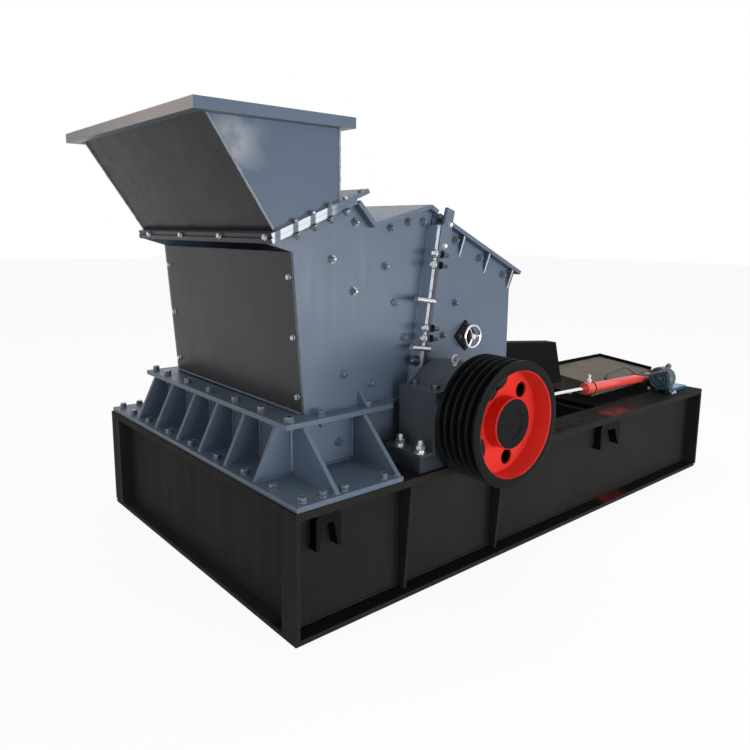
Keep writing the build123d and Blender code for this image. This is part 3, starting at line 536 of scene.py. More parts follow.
# %% The two main paints
BLUE, DEEP_BLUE = (0.115, 0.155, 0.215), (0.102, 0.139, 0.196)
BLACK, DEEP_BLACK = (0.0240, 0.0218, 0.0202), (0.0175, 0.0160, 0.0145)


def grey(level):
    return (level, level, level)


def blue_machine_paint(name, over=None, level=0.25):
    return paint(name, BLUE, DEEP_BLUE, gloss=(0.30, 0.42), dust=0.05, dust_colour=(0.20, 0.21, 0.22),
                 worn_and_glint_colour=(0.42, 0.46, 0.52), wear_and_glint_share=0.5, waviness=0.3, level=level, over=over)


def black_skid_paint(name, over=None):
    return paint(name, BLACK, DEEP_BLACK, gloss=(0.62, 0.78), dust=0.06, dust_colour=(0.12, 0.105, 0.09),
                 worn_and_glint_colour=grey(0.12), level=0.05, over=over)


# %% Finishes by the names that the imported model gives
FINISHES = {
    "blue_paint": blue_machine_paint("blue_machine_paint"),
    "dark_paint": paint("dark_machine_paint", (0.030, 0.037, 0.046), (0.022, 0.028, 0.036), dust=0.05,
                        wear_and_glint_share=0.3, level=0.15, waviness=0.3),
    "black_frame": black_skid_paint("black_skid_paint"),
    "red_paint": paint("red_paint", (0.90, 0.095, 0.075), (0.76, 0.060, 0.046), gloss=(0.25, 0.40), dust=0.05,
                       worn_and_glint_colour=(0.75, 0.30, 0.26), coat=0.1),
    "bare_steel": paint("machined_steel", grey(0.30), grey(0.20), gloss=(0.25, 0.4), metal=1.0, dust=0.1,
                        worn_and_glint_colour=grey(0.5)),
    "bright_steel": paint("plated_steel", grey(0.80), grey(0.66), gloss=(0.12, 0.25), metal=1.0, dust=0.05,
                          worn_and_glint_colour=grey(0.9), edge=0.0015),
    "worn_iron": paint("rough_cast_iron", (0.16, 0.15, 0.14), (0.09, 0.085, 0.08), gloss=(0.5, 0.7),
                       metal=0.6),
    "chrome_rod": paint("hard_chrome", (0.86, 0.87, 0.88), (0.78, 0.79, 0.80), gloss=(0.08, 0.16), metal=1.0,
                        dust=0.02, worn_and_glint_colour=grey(0.9), waviness=0.1),
    "teal_paint": paint("teal_motor_paint", (0.022, 0.075, 0.095), (0.012, 0.045, 0.060), dust=0.1, coat=0.1,
                        worn_and_glint_colour=(0.16, 0.24, 0.27)),
    "pump_blue": paint("bright_pump_blue", (0.030, 0.13, 0.34), (0.015, 0.07, 0.20), dust=0.1, coat=0.2,
                       worn_and_glint_colour=(0.3, 0.4, 0.5)),
    "dusty_paint": paint("dusty_tank_plate", (0.10, 0.088, 0.075), (0.06, 0.053, 0.046), gloss=(0.55, 0.8),
                         dust=0.9, dust_colour=(0.24, 0.20, 0.155)),
    "hose_rubber": paint("grey_hose_rubber", (0.060, 0.060, 0.063), (0.040, 0.040, 0.042), gloss=(0.40, 0.55),
                         worn_and_glint_colour=grey(0.2)),
}

# %% [markdown]
# Some nodes look unlike the rest of their slot, so they get a finish of their own by node name.
# The feed plate and the bearings are darker than the housings, and the hooks and the box behind the
# casing are nearly black. The deck at the opening in the skid is nearly black as painted shade.

# %% Finishes for single nodes
BLACK_HOOKS = paint("black_hook_paint", grey(0.004), grey(0.003), gloss=(0.55, 0.7), dust=0.02, level=0.06,
                    worn_and_glint_colour=grey(0.05), wear_and_glint_share=0.3)
# painted shade: the deck is made nearly black where the opening lies in shadow under the motor
DECK_PAINTED_SHADE = paint("deck_painted_shade", grey(0.0030), grey(0.0020), gloss=(0.8, 0.9), dust=0.01, level=0.02,
                   worn_and_glint_colour=grey(0.03))
BLACK_BOX_PAINT = paint("black_box_paint", (0.0070, 0.0066, 0.0064), (0.0045, 0.0042, 0.0040), dust=0.04,
                        gloss=(0.6, 0.75), level=0.03, worn_and_glint_colour=grey(0.10))
SEAT_PAINT = paint("bearing_seat_paint", (0.034, 0.043, 0.056), (0.024, 0.031, 0.042), level=0.15, dust=0.05,
                   gloss=(0.4, 0.55), waviness=0.3, wear_and_glint_share=0.4, worn_and_glint_colour=(0.25, 0.28, 0.31))
BEARING_PAINT = paint("bearing_paint", (0.066, 0.080, 0.096), (0.050, 0.062, 0.076), level=0.2, dust=0.05,
                      gloss=(0.35, 0.5), waviness=0.3, wear_and_glint_share=0.4, worn_and_glint_colour=(0.30, 0.32, 0.35))
FEED_PLATE_PAINT = paint("feed_plate_paint", (0.047, 0.046, 0.049), (0.038, 0.037, 0.040), level=0.2,
                         gloss=(0.32, 0.46), dust=0.03, waviness=0.3, wear_and_glint_share=0.4, worn_and_glint_colour=(0.30, 0.32, 0.35))
OWN_MARKS = {
    "casing_front": FEED_PLATE_PAINT,
    "near_bearing_base": BEARING_PAINT, "near_bearing_cap": BEARING_PAINT,
    "far_bearing_base": BEARING_PAINT, "far_bearing_cap": BEARING_PAINT,
    "bearing_seats": SEAT_PAINT,
    "rear_box": BLACK_BOX_PAINT, "tank_lip": BLACK_BOX_PAINT,
    "rear_deck": DECK_PAINTED_SHADE,
    "lifting_hooks": BLACK_HOOKS,
    "hopper_body": blue_machine_paint("hopper_paint_and_shade", hopper_shade_and_patch, 0.12),
    "hopper_rim": blue_machine_paint("hopper_rim_paint", rim_film),
    "hopper_flange": blue_machine_paint("hopper_flange_paint_and_highlight", dashed_highlights),
    "hopper_seat": blue_machine_paint("hopper_seat_paint_and_highlight", dashed_highlights),
    "fixed_parting_flange": blue_machine_paint("parting_flange_paint_and_highlight", seam_highlights),
    "hinged_parting_flange": blue_machine_paint("hinged_flange_paint_and_shade", painted_shade_edges),
    "roof_gussets": blue_machine_paint("roof_web_paint_and_highlight", painted_highlight_edges),
    "skid_near_beam": black_skid_paint("near_beam_paint_and_shade", skid_shade_and_smear),
}

# %% Finishes of the small pieces, each paired with a slot name
PAINTED_BOLTS = paint("painted_bolts", (0.088, 0.118, 0.158), (0.055, 0.076, 0.106), gloss=(0.14, 0.24),
                      coat=0.8, worn_and_glint_colour=(0.55, 0.58, 0.62), wear_and_glint_share=0.7, dust=0.05, edge=0.0012,
                      waviness=0.2), "blue_paint"
ZINC_BOLTS = paint("zinc_plated_bolts", (0.62, 0.63, 0.65), (0.42, 0.43, 0.45), gloss=(0.22, 0.40),
                   metal=0.85, worn_and_glint_colour=grey(0.85), dust=0.15, edge=0.0012, waviness=0.2), "bright_steel"
DARK_BOLTS = paint("oiled_dark_bolts", (0.055, 0.065, 0.082), (0.030, 0.036, 0.046), gloss=(0.20, 0.36),
                   coat=0.3, metal=0.4, worn_and_glint_colour=(0.30, 0.32, 0.36), dust=0.1, edge=0.0012,
                   waviness=0.2), "dark_paint"
PALE_PLUG = paint("pale_plug", (0.85, 0.83, 0.81), (0.72, 0.69, 0.67), gloss=(0.3, 0.45), dust=0.1,
                  worn_and_glint_colour=grey(0.85), edge=0.001, waviness=0.1), "bright_steel"
# pale weld metal that is also a painted highlight along the joints
WELD_METAL_AND_HIGHLIGHT = paint("weld_metal_and_highlight", (0.36, 0.40, 0.45), (0.085, 0.115, 0.16), gloss=(0.25, 0.45),
                   coat=0.2, worn_and_glint_colour=(0.75, 0.77, 0.80), wear_and_glint_share=0.8, dust=0.0, edge=0.0015,
                   waviness=0.3), "blue_paint"
FAN_GUARD = paint("fan_guard_paint", (0.040, 0.095, 0.115), (0.025, 0.065, 0.082), gloss=(0.25, 0.4),
                  coat=0.1, dust=0.05, worn_and_glint_colour=(0.3, 0.4, 0.42), edge=0.001, waviness=0.1), "teal_paint"
BLUE_PLATE = FINISHES["blue_paint"], "blue_paint"
BLACK_PLATE = FINISHES["black_frame"], "black_frame"

# %% [markdown]
# The pulley is black iron with a red painted dish. The painter worked by hand, so the red runs
# a little over the lip on one side. The mask is the distance from the rotor's axis, worked out
# from Object coordinates, and the coordinates belong to the pulley, so the paint turns with it.
# The bush in its middle is left black on its face, and only its turned shoulder is red.

# %% Red dish of the pulley
pulley_low, pulley_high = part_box("pulley")
PULLEY_AXIS = ((pulley_low.x + pulley_high.x) / 2, (pulley_low.z + pulley_high.z) / 2)
LIP_RADIUS = 0.217
DISH_DEPTH = 0.078
RED, DEEP_RED = (0.78, 0.042, 0.030), (0.56, 0.022, 0.016)


def from_axis(tree, place):
    # distance along the skid from the rotor's axis, and the distance all round
    parts = parts_of(tree, place)
    along = minus(tree, parts["X"], PULLEY_AXIS[0])
    height = minus(tree, parts["Z"], PULLEY_AXIS[1])
    squares = plus(tree, times(tree, along, along), times(tree, height, height))
    return along, maths(tree, "SQRT", squares)


def iron_and_red(name, red_mask, roughness=0.42):
    # red_mask(tree, place) says where the red is
    material, tree, shader, place = start_material(name)
    red = red_mask(tree, place)
    film = use_group(tree, PAINT_FILM, place, {})
    edge_wear_and_glint = use_group(tree, GLINTING_EDGE_WEAR, place, {"Width": 0.003})
    iron = mix_colour(tree, film.outputs["Shade"], (0.0034, 0.0038, 0.0042), (0.0070, 0.0076, 0.0080))
    # edge wear, pale enough to paint a glint along the edges of the iron and of the red dish
    iron = mix_colour(tree, times(tree, edge_wear_and_glint.outputs["Mask"], 0.55), iron, (0.15, 0.16, 0.165))
    lively = mix_colour(tree, film.outputs["Shade"], DEEP_RED, RED)
    lively = mix_colour(tree, times(tree, edge_wear_and_glint.outputs["Mask"], 0.6), lively, (0.85, 0.36, 0.30))
    tree.links.new(mix_colour(tree, red, iron, lively), shader.inputs["Base Color"])
    shader.inputs["Roughness"].default_value = roughness
    shader.inputs["Specular IOR Level"].default_value = 0.05
    bump = tree.nodes.new("ShaderNodeBump")
    bump.inputs["Strength"].default_value = 0.4
    bump.inputs["Distance"].default_value = 0.001
    tree.links.new(plus(tree, film.outputs["Height"], red), bump.inputs["Height"])
    tree.links.new(edge_wear_and_glint.outputs["Rounded"], bump.inputs["Normal"])
    tree.links.new(bump.outputs[0], shader.inputs["Normal"])
    return material


def dish_red(tree, place):
    along, radius = from_axis(tree, place)
    fray = times(tree, noise(tree, place, 45.0, 3.0, 0.6), 0.004)
    spill = times(tree, ramp(tree, along, 0.0, 0.2), 0.006)
    limit = minus(tree, plus(tree, spill, LIP_RADIUS + 0.003), fray)
    inside = ramp(tree, minus(tree, limit, radius), 0.0, 0.0012)
    web_back = pulley_low.y + DISH_DEPTH + 0.012
    return both_of(tree, inside, ramp(tree, parts_of(tree, place)["Y"], web_back, web_back - 0.003))


def bush_red(tree, place):
    # only the turned shoulder is red, and the middle stays black
    along, radius = from_axis(tree, place)
    return both_of(tree, facing(tree, "Y", 0.86, 0.74, both=True), ramp(tree, radius, 0.090, 0.094))


def no_red(tree, place):
    # no face is turned past 1, so this mask is 0 everywhere
    return facing(tree, "Z", 2.0, 3.0)


FINISHES["pulley_iron"] = iron_and_red("pulley_iron", dish_red)
OWN_MARKS["pulley_bush"] = iron_and_red("bush_iron", bush_red)
OWN_MARKS["shaft"] = iron_and_red("shaft_iron", no_red)

# %% [markdown]
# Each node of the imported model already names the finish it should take. The finishes above are
# handed out by that name, and the old preview colours are dropped.

# %% Finishes on the steel
for part in frame["record"]["subparts"]:
    body = frame["nodes"][part["node"]]
    body.data.materials.clear()
    finish = OWN_MARKS.get(part["node"], FINISHES[part["material_slot"]])
    body.data.materials.append(finish)
print("finishes given out:", len(FINISHES), "and with their own marks:", len(OWN_MARKS))

# %% [markdown]
# The machine's small pieces are modelled by hand, as in the modeller's window: a primitive is
# added, some of its faces are picked, and an edit such as extrude, inset or bevel shapes it.
# Small helpers keep that short. One picks faces by a test, others extrude and widen what is
# picked, and the last lays copies of a finished piece wherever they are needed and joins them.

# %% Helpers for modelling by hand
def clear_selection():
    if bpy.context.object and bpy.context.object.mode != "OBJECT":
        bpy.ops.object.mode_set(mode="OBJECT")
    bpy.ops.object.select_all(action="DESELECT")


def select_only(piece):
    clear_selection()
    piece.select_set(True)
    bpy.context.view_layer.objects.active = piece


def pick_faces(piece, wanted):
    # leaves the piece in edit mode with only the wanted faces selected
    bpy.context.view_layer.objects.active = piece
    bpy.ops.object.mode_set(mode="EDIT")
    bpy.ops.mesh.select_mode(type="FACE")
    bpy.ops.mesh.select_all(action="DESELECT")
    bpy.ops.object.mode_set(mode="OBJECT")
    for face in piece.data.polygons:
        face.select = wanted(face)
    bpy.ops.object.mode_set(mode="EDIT")


def round_bar(sides, radius, depth, middle=0.0):
    # an upright bar on the Z axis, six-sided for a nut; middle is the height of its middle
    clear_selection()
    bpy.ops.mesh.primitive_cylinder_add(vertices=sides, radius=radius, depth=depth,
                                        location=(0.0, 0.0, middle))
    return bpy.context.object


def extrude(amount):
    bpy.ops.mesh.extrude_region_move(TRANSFORM_OT_translate={"value": (0.0, 0.0, amount)})


def done(piece, angle=35.0):
    # back to object mode, flat faces flat and round ones smooth
    bpy.ops.object.mode_set(mode="OBJECT")
    select_only(piece)
    bpy.ops.object.shade_smooth_by_angle(angle=radians(angle))
    return piece


def facing_up(face):
    return face.normal.z > 0.99


def widen(factor):
    # scales the picked faces in their own plane
    bpy.ops.transform.resize(value=(factor, factor, 1.0))


def smoothed(piece):
    piece.select_set(True)
    bpy.ops.object.shade_smooth_by_angle(angle=radians(40.0))
    return piece


def set_down(piece, place):
    # the place goes into the mesh, and the object stays at the origin
    select_only(piece)
    piece.matrix_world = place
    bpy.ops.object.transform_apply(location=True, rotation=True, scale=True)


def join(pieces, name):
    clear_selection()
    for piece in pieces:
        piece.select_set(True)
    bpy.context.view_layer.objects.active = pieces[0]
    bpy.ops.object.join()
    joined = bpy.context.object
    joined.name = name
    bpy.ops.object.transform_apply(location=True, rotation=True, scale=True)
    return joined


def turned_to(point, outward, turn=0.0):
    # a place for a piece that was modelled upright at the origin
    aim = Vector(outward).to_track_quat("Z", "Y").to_matrix().to_4x4()
    return Matrix.Translation(point) @ aim @ Matrix.Rotation(turn, 4, "Z")


def lay_copies(name, model, places, body, finish):
    copies = []
    for point, outward, turn in places:
        copy = bpy.data.objects.new(name, model.data.copy())
        bpy.context.scene.collection.objects.link(copy)
        copy.matrix_world = turned_to(point, outward, turn)
        copies.append(copy)
    piece = join(copies, name)
    finished(piece, body, finish)
    print(name, "copies:", len(places), "faces:", len(piece.data.polygons))
    return piece


def finished(piece, body, finish):
    # a finish is a material paired with a slot name, and only the material is put on
    material, slot = finish
    piece.data.materials.clear()
    piece.data.materials.append(material)
    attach(piece, body)


MODELS = []


def keep_model(piece):
    # a model is only copied from, and goes at the end
    MODELS.append(piece)
    return piece


# %% [markdown]
# Bolts hold the flanges, the wear liners inside the casing and the bearings. A bolt head is a
# hexagon with its top corners chamfered, sitting on a washer. It starts as a six-sided
# cylinder whose top is inset and lifted, which gives the chamfer, and a thin round cylinder
# under it is the washer.

# %% Bolt heads
def model_bolt(name, across, height, washer_radius, washer_height):
    washer = round_bar(20, washer_radius, washer_height, washer_height / 2)
    pick_faces(washer, facing_up)
    bpy.ops.mesh.bevel(offset=washer_height * 0.3, segments=1, affect="EDGES")
    done(washer)
    head = round_bar(6, across / 2 / cos(pi / 6), height * 0.88, washer_height + height * 0.44)
    pick_faces(head, facing_up)
    extrude(height * 0.12)
    widen(0.86)
    bpy.ops.mesh.inset(thickness=across * 0.06, depth=0.0)
    bpy.ops.transform.translate(value=(0.0, 0.0, -height * 0.05))
    done(head, 20.0)
    return keep_model(join([washer, head], name))


FLANGE_BOLT = model_bolt("flange_bolt_model", 0.030, 0.018, 0.018, 0.004)
SMALL_BOLT = model_bolt("small_bolt_model", 0.019, 0.010, 0.012, 0.002)

# %% [markdown]
# A stud is different: a threaded bar stands out through a nut. The thread is cut as a row of
# shallow rings, each made by two extrusions, out and in again. At this size a ring looks the
# same as a turn of real thread and stays light.

# %% Studs with nuts
def model_stud(name, radius, reach, nut_across, nut_height, nuts):
    pitch = radius * 0.36
    bar = round_bar(12, radius, 0.002, 0.001)
    pick_faces(bar, facing_up)
    for ring in range(int(reach / pitch)):
        extrude(pitch / 2)
        widen(0.86)
        extrude(pitch / 2)
        widen(1 / 0.86)
    extrude(radius * 0.2)
    widen(0.7)
    done(bar, 10.0)
    pieces = [bar]
    base = 0.0
    for nut in range(nuts):
        clear_selection()
        bpy.ops.mesh.primitive_cylinder_add(vertices=6, radius=nut_across / 2 / cos(pi / 6),
                                            depth=nut_height * 0.8, rotation=(0.0, 0.0, 0.4 * nut),
                                            location=(0.0, 0.0, base + nut_height / 2))
        piece = bpy.context.object
        for side in (1, -1):
            pick_faces(piece, lambda face: face.normal.z * side > 0.99)
            extrude(side * nut_height * 0.1)
            widen(0.87)
        done(piece, 20.0)
        pieces.append(piece)
        base += nut_height * 1.02
    washer = round_bar(20, nut_across * 0.68, 0.005, 0.0025)
    pick_faces(washer, facing_up)
    bpy.ops.mesh.bevel(offset=0.0015, segments=1, affect="EDGES")
    pieces.append(done(washer))
    return keep_model(join(pieces, name))


BEARING_STUD = model_stud("bearing_stud_model", 0.0135, 0.052, 0.036, 0.016, 2)
LINER_STUD = model_stud("liner_stud_model", 0.009, 0.021, 0.027, 0.014, 1)
CLAMP_STUD = model_stud("clamp_stud_model", 0.009, 0.038, 0.025, 0.013, 1)
CLAMP_NUT = model_stud("clamp_nut_model", 0.009, 0.025, 0.028, 0.018, 1)

# %% [markdown]
# The belt pulley is the piece that the eye goes to, so it is turned here in full. Its profile
# is drawn as a chain of edges, point by point from the lip over the five grooves and back
# across the web, and spun round the axis. Three round holes are cut through the web, and flat
# pads stand inside the lip, where the casting was fettled. The CAD pulley only gives its place.

# %% Belt pulley
GROOVES, GROOVE_PITCH, FIRST_GROOVE = 5, 37, 24
RIM_RADIUS, GROOVE_DEPTH, MOUTH_HALF, FLOOR_HALF = 257.5, 26, 16, 9.5
WEB_THICKNESS, BUSH_RADIUS = 30, 105.5
PULLEY_FACE = span("pulley")[0].y
PULLEY_WIDTH = span("pulley")[1].y - PULLEY_FACE


def pulley_profile():
    # radius and depth behind the near face, in millimetres
    lip, web = LIP_RADIUS / MM, DISH_DEPTH / MM
    points = [(lip, 0), (RIM_RADIUS, 0)]
    for groove in range(GROOVES):
        middle = FIRST_GROOVE + groove * GROOVE_PITCH
        points += [(RIM_RADIUS, middle - MOUTH_HALF), (RIM_RADIUS - GROOVE_DEPTH, middle - FLOOR_HALF)]
        points += [(RIM_RADIUS - GROOVE_DEPTH, middle + FLOOR_HALF), (RIM_RADIUS, middle + MOUTH_HALF)]
    back = web + WEB_THICKNESS
    points += [(RIM_RADIUS, PULLEY_WIDTH), (lip, PULLEY_WIDTH), (lip - 6, back), (BUSH_RADIUS, back)]
    return points + [(BUSH_RADIUS, web), (lip - 6, web), (lip, 0)]


def spin_profile(points, steps):
    # a plane is merged to one corner, which is drawn out point by point and spun about Z
    clear_selection()
    bpy.ops.mesh.primitive_plane_add(size=0.1, location=(0.0, 0.0, 0.0))
    piece = bpy.context.object
    bpy.ops.object.mode_set(mode="EDIT")
    bpy.ops.mesh.select_mode(type="VERT")
    bpy.ops.mesh.select_all(action="SELECT")
    bpy.ops.mesh.merge(type="CENTER")
    here = Vector((0.0, 0.0, 0.0))
    for number, (radius, depth) in enumerate(points):
        there = Vector((radius * MM, 0.0, -depth * MM))
        if number == 0:
            bpy.ops.transform.translate(value=there - here)
        else:
            bpy.ops.mesh.extrude_region_move(TRANSFORM_OT_translate={"value": there - here})
        here = there
    bpy.ops.mesh.select_all(action="SELECT")
    bpy.ops.mesh.spin(steps=steps, angle=2 * pi, center=(0.0, 0.0, 0.0), axis=(0.0, 0.0, 1.0))
    bpy.ops.mesh.select_all(action="SELECT")
    bpy.ops.mesh.remove_doubles(threshold=0.00002)
    bpy.ops.mesh.normals_make_consistent(inside=False)
    bpy.ops.object.mode_set(mode="OBJECT")
    return piece


def cut_hole(piece, centre, radius, depth):
    # a round hole along the machine's width
    clear_selection()
    bpy.ops.mesh.primitive_cylinder_add(vertices=40, radius=radius, depth=depth, location=centre,
                                        rotation=(radians(90), 0.0, 0.0))
    cutter = bpy.context.object
    select_only(piece)
    cut = piece.modifiers.new("hole", "BOOLEAN")
    cut.object = cutter
    cut.operation = "DIFFERENCE"
    bpy.ops.object.modifier_apply(modifier="hole")
    bpy.data.objects.remove(cutter)


HOLE_RING, HOLE_RADIUS, FIRST_HOLE = 162, 33, 44


def on_rotor(ring, turn, across):
    # a place round the rotor's axis, by its angle above the horizontal
    return at(ROTOR_ALONG + ring * cos(radians(turn)), across, ROTOR_HEIGHT + ring * sin(radians(turn)))


def model_pulley():
    pulley = spin_profile(pulley_profile(), 120)
    pulley.name = "belt_pulley"
    set_down(pulley, turned_to(on_rotor(0, 0, PULLEY_FACE), NEAR))
    web_middle = PULLEY_FACE + DISH_DEPTH / MM + WEB_THICKNESS / 2
    for hole in range(3):
        cut_hole(pulley, on_rotor(HOLE_RING, FIRST_HOLE + 120 * hole, web_middle), HOLE_RADIUS * MM, 0.06)
    soften = pulley.modifiers.new("soften", "BEVEL")
    soften.width = 0.0018
    soften.segments = 2
    soften.limit_method = "ANGLE"
    bpy.ops.object.modifier_apply(modifier="soften")
    print("pulley faces:", len(pulley.data.polygons))
    return done(pulley, 40.0)


belt_pulley = model_pulley()
finished(belt_pulley, "rotor", (FINISHES["pulley_iron"], "pulley_iron"))
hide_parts("pulley")


def model_lip_pad():
    # a flat oval pad with a rounded edge
    pad = round_bar(36, 0.044, 0.012, -0.0062)
    bpy.ops.transform.resize(value=(1.0, 0.60, 1.0))
    bpy.ops.object.transform_apply(location=True, rotation=True, scale=True)
    pick_faces(pad, facing_up)
    bpy.ops.mesh.bevel(offset=0.002, segments=2, affect="EDGES")
    return keep_model(done(pad))


LIP_PAD = model_lip_pad()
pads = [(on_rotor(LIP_RADIUS / MM + out, turn, PULLEY_FACE), NEAR, radians(turn + 90))
        for turn, out in ((120, 3), (135, 6), (194, 4))]
lay_copies("lip_pads", LIP_PAD, pads, "rotor", (OWN_MARKS["shaft"], "pulley_iron"))

# %% [markdown]
# Now the bolts go where a fitter would put them. On the side wall they hold the wear liners,
# so they stand in loose rows, each a nut on a stud. Along the roof they sit just under the
# overhang. Every place is given on the near wall as distance along the skid and height, and
# the far wall gets the same row mirrored.

# %% Liner and roof bolts on the side walls
random.seed(7)


def both_walls(points, off=0.0):
    # the same bolts on the near wall and on the far wall, each nut turned by chance
    places = []
    for along, height in points:
        places.append((at(along, WALL - off, height), NEAR, random.uniform(0, 1)))
        places.append((at(along, SKID_WIDTH - WALL + off, height), FAR, random.uniform(0, 1)))
    return places


LINER_PLACES = [(380, 1343), (654, 1309), (487, 1214), (708, 1156), (764, 1001), (436, 882), (580, 823)]
HINGED_LINER_PLACES = [(1006, 988), (1080, 1131)]
ROOF_PLACES = [(494, 1486), (681, 1464), (779, 1490), (866, 1492)]
HINGED_ROOF_PLACES = [(1070, 1412), (1235, 1330), (1410, 1247)]
LOWER_PLACES = [(411, 603)]
lay_copies("liner_nuts", LINER_STUD, both_walls(LINER_PLACES + LOWER_PLACES), "machine_frame", PAINTED_BOLTS)
lay_copies("roof_bolts", LINER_STUD, both_walls(ROOF_PLACES), "machine_frame", PAINTED_BOLTS)
hinged_places = both_walls(HINGED_LINER_PLACES + HINGED_ROOF_PLACES)
lay_copies("hinged_casing_nuts", LINER_STUD, hinged_places, "rear_casing", PAINTED_BOLTS)

# %% [markdown]
# The flanges are bolted through. Their heads stand on the upper face, and a nut with a short
# stud end shows under the plate where there is room to look up at it.

# %% Flange bolts
def mirrored(points):
    # flange places on the near side, and the same ones across the skid
    return points + [(along, SKID_WIDTH - across, height) for along, across, height in points]


def standing(points, outward):
    return [(at(*point), outward, random.uniform(0, 1)) for point in points]


base_low, base_high = span("base_flange")
mid_low, mid_high = span("mid_flange")
base_row = [(base_low.x + 34, across, base_high.z) for across in (205, 410, 638, 872, 1100, 1338, 1525)]
base_sides = mirrored([(along, base_low.y + 32, base_high.z) for along in (52, 138, 236, 427)])
base_bolts = standing(base_row + base_sides, UP)
lay_copies("base_flange_bolts", FLANGE_BOLT, base_bolts, "machine_frame", PAINTED_BOLTS)
mid_row = [(mid_low.x + 34, across, mid_high.z) for across in (262, 451, 660, 890, 1110, 1335, 1468)]
mid_sides = mirrored([(along, mid_low.y + 32, mid_high.z) for along in (150, 293, 530)])
mid_bolts = standing(mid_row + mid_sides, UP)
lay_copies("middle_flange_bolts", FLANGE_BOLT, mid_bolts, "machine_frame", PAINTED_BOLTS)
mid_under = mirrored([(along, mid_low.y + 32, mid_low.z) for along in (293, 530)])
mid_under += [(mid_low.x + 34, across, mid_low.z) for across in (451, 660, 890, 1110, 1335)]
lay_copies("middle_flange_nuts", LINER_STUD, standing(mid_under, DOWN), "machine_frame", PAINTED_BOLTS)

# %% Hopper flange: bolts lie in notches along the sloped edges, heads above and nuts below
seat_low = span("hopper_flange")[0]
SEAT_LOW, SEAT_HIGH = (92, 1404), (482, 1556)
SLOPE = (SEAT_HIGH[1] - SEAT_LOW[1]) / (SEAT_HIGH[0] - SEAT_LOW[0])
SEAT_UP = Vector((-SLOPE, 0.0, 1.0)).normalized()
SEAT_PLATES = 36.4


def on_seat(along, across, layers):
    # a place on the sloped flanges: 0 under both plates, 1 between them, 2 on top
    rise = SLOPE * (along - SEAT_LOW[0]) + layers * SEAT_PLATES / 2 * (1 + SLOPE * SLOPE) ** 0.5
    return at(along, across, SEAT_LOW[1] + rise)


seat_tops, seat_feet = [], []
for across in (seat_low.y - 3, SKID_WIDTH - seat_low.y + 3):
    for along in (190, 267, 344, 418, 492):
        seat_tops.append((on_seat(along, across, 2), SEAT_UP, random.uniform(0, 1)))
        if along < 470:
            seat_feet.append((on_seat(along, across, 0), -SEAT_UP, random.uniform(0, 1)))
lay_copies("hopper_flange_bolts", SMALL_BOLT, seat_tops, "machine_frame", PAINTED_BOLTS)
lay_copies("hopper_flange_nuts", LINER_STUD, seat_feet, "machine_frame", PAINTED_BOLTS)
front_row = [(seat_low.x + 1, across, SEAT_LOW[1] + 22) for across in (304, 647, 997, 1336)]
lay_copies("hopper_lip_bolts", SMALL_BOLT, standing(front_row, (-1, 0, 0.25)), "machine_frame", ZINC_BOLTS)

# %% [markdown]
# The dark feed-end plate is screwed to the side walls along its two edges. The plate leans, so
# the screws lean with it: their places are worked out along the line of its outer face.

# %% Screws of the feed-end plate
FRONT_FOOT, FRONT_HEAD = (246, MIDDLE_FLANGE), (199, 1372)
FRONT_OUT = (-(FRONT_HEAD[1] - FRONT_FOOT[1]), 0, -(FRONT_FOOT[0] - FRONT_HEAD[0]))


def front_place(height):
    share = (height - FRONT_FOOT[1]) / (FRONT_HEAD[1] - FRONT_FOOT[1])
    return FRONT_FOOT[0] + share * (FRONT_HEAD[0] - FRONT_FOOT[0])


front_screws = mirrored([(front_place(height), 336, height) for height in (809, 1046, 1279)])
lay_copies("feed_plate_screws", SMALL_BOLT, standing(front_screws, FRONT_OUT), "machine_frame", ZINC_BOLTS)

# %% [markdown]
# The fixed and the hinged half of the casing meet at a leaning seam. On the real machine swing
# bolts clamp it. Here each clamp is shown as it looks when shut: a bright nut against the fixed
# flange, and the bolt's threaded end against the hinged one. The two halves ride on their own
# bodies, so the casing can open without anything passing through anything.

# %% Seam clamps
SEAM_FOOT, SEAM_LEAN = 805, 0.153
FLANGE_OUT = 240


def seam(height, side):
    # the outer face of the fixed flange is at side -1, and of the hinged one at side +1
    return SEAM_FOOT + SEAM_LEAN * (height - MIDDLE_FLANGE) + side * 21


SEAM_NORMAL = Vector((1.0, 0.0, -SEAM_LEAN)).normalized()
CLAMP_HEIGHTS = [(1358, 1312), (1042, 998)]
fixed_nuts, hinged_ends = [], []
for pair in CLAMP_HEIGHTS:
    for height in pair:
        for across in (FLANGE_OUT - 6, SKID_WIDTH - FLANGE_OUT + 6):
            fixed_nuts.append((at(seam(height, -1), across, height), -SEAM_NORMAL, random.uniform(0, 1)))
            hinged_ends.append((at(seam(height, 1), across, height - 4), SEAM_NORMAL, random.uniform(0, 1)))
lay_copies("clamp_nuts", CLAMP_NUT, fixed_nuts, "machine_frame", ZINC_BOLTS)
lay_copies("clamp_bolt_ends", CLAMP_STUD, hinged_ends, "rear_casing", DARK_BOLTS)


# %% Locating pins welded on the edge of the fixed flange
def model_pin(name, radius, length):
    # a round bar along Z, its end faces ringed by a row of narrow ones
    pin = round_bar(20, radius, length)
    pick_faces(pin, lambda face: abs(face.normal.z) > 0.99)
    bpy.ops.mesh.inset(thickness=radius * 0.001, depth=0.0, use_individual=True)
    bpy.ops.mesh.bevel(offset=radius * 0.22, segments=2, affect="EDGES")
    return keep_model(done(pin))


LOCATING_PIN = model_pin("locating_pin_model", 0.0115, 0.112)
pins = []
for height, shift in ((1163, 48), (958, 40)):
    for across in (FLANGE_OUT - 11, SKID_WIDTH - FLANGE_OUT + 11):
        pins.append((at(seam(height, 0) - shift, across, height), SEAM_NORMAL, 0.0))
lay_copies("locating_pins", LOCATING_PIN, pins, "machine_frame", ZINC_BOLTS)

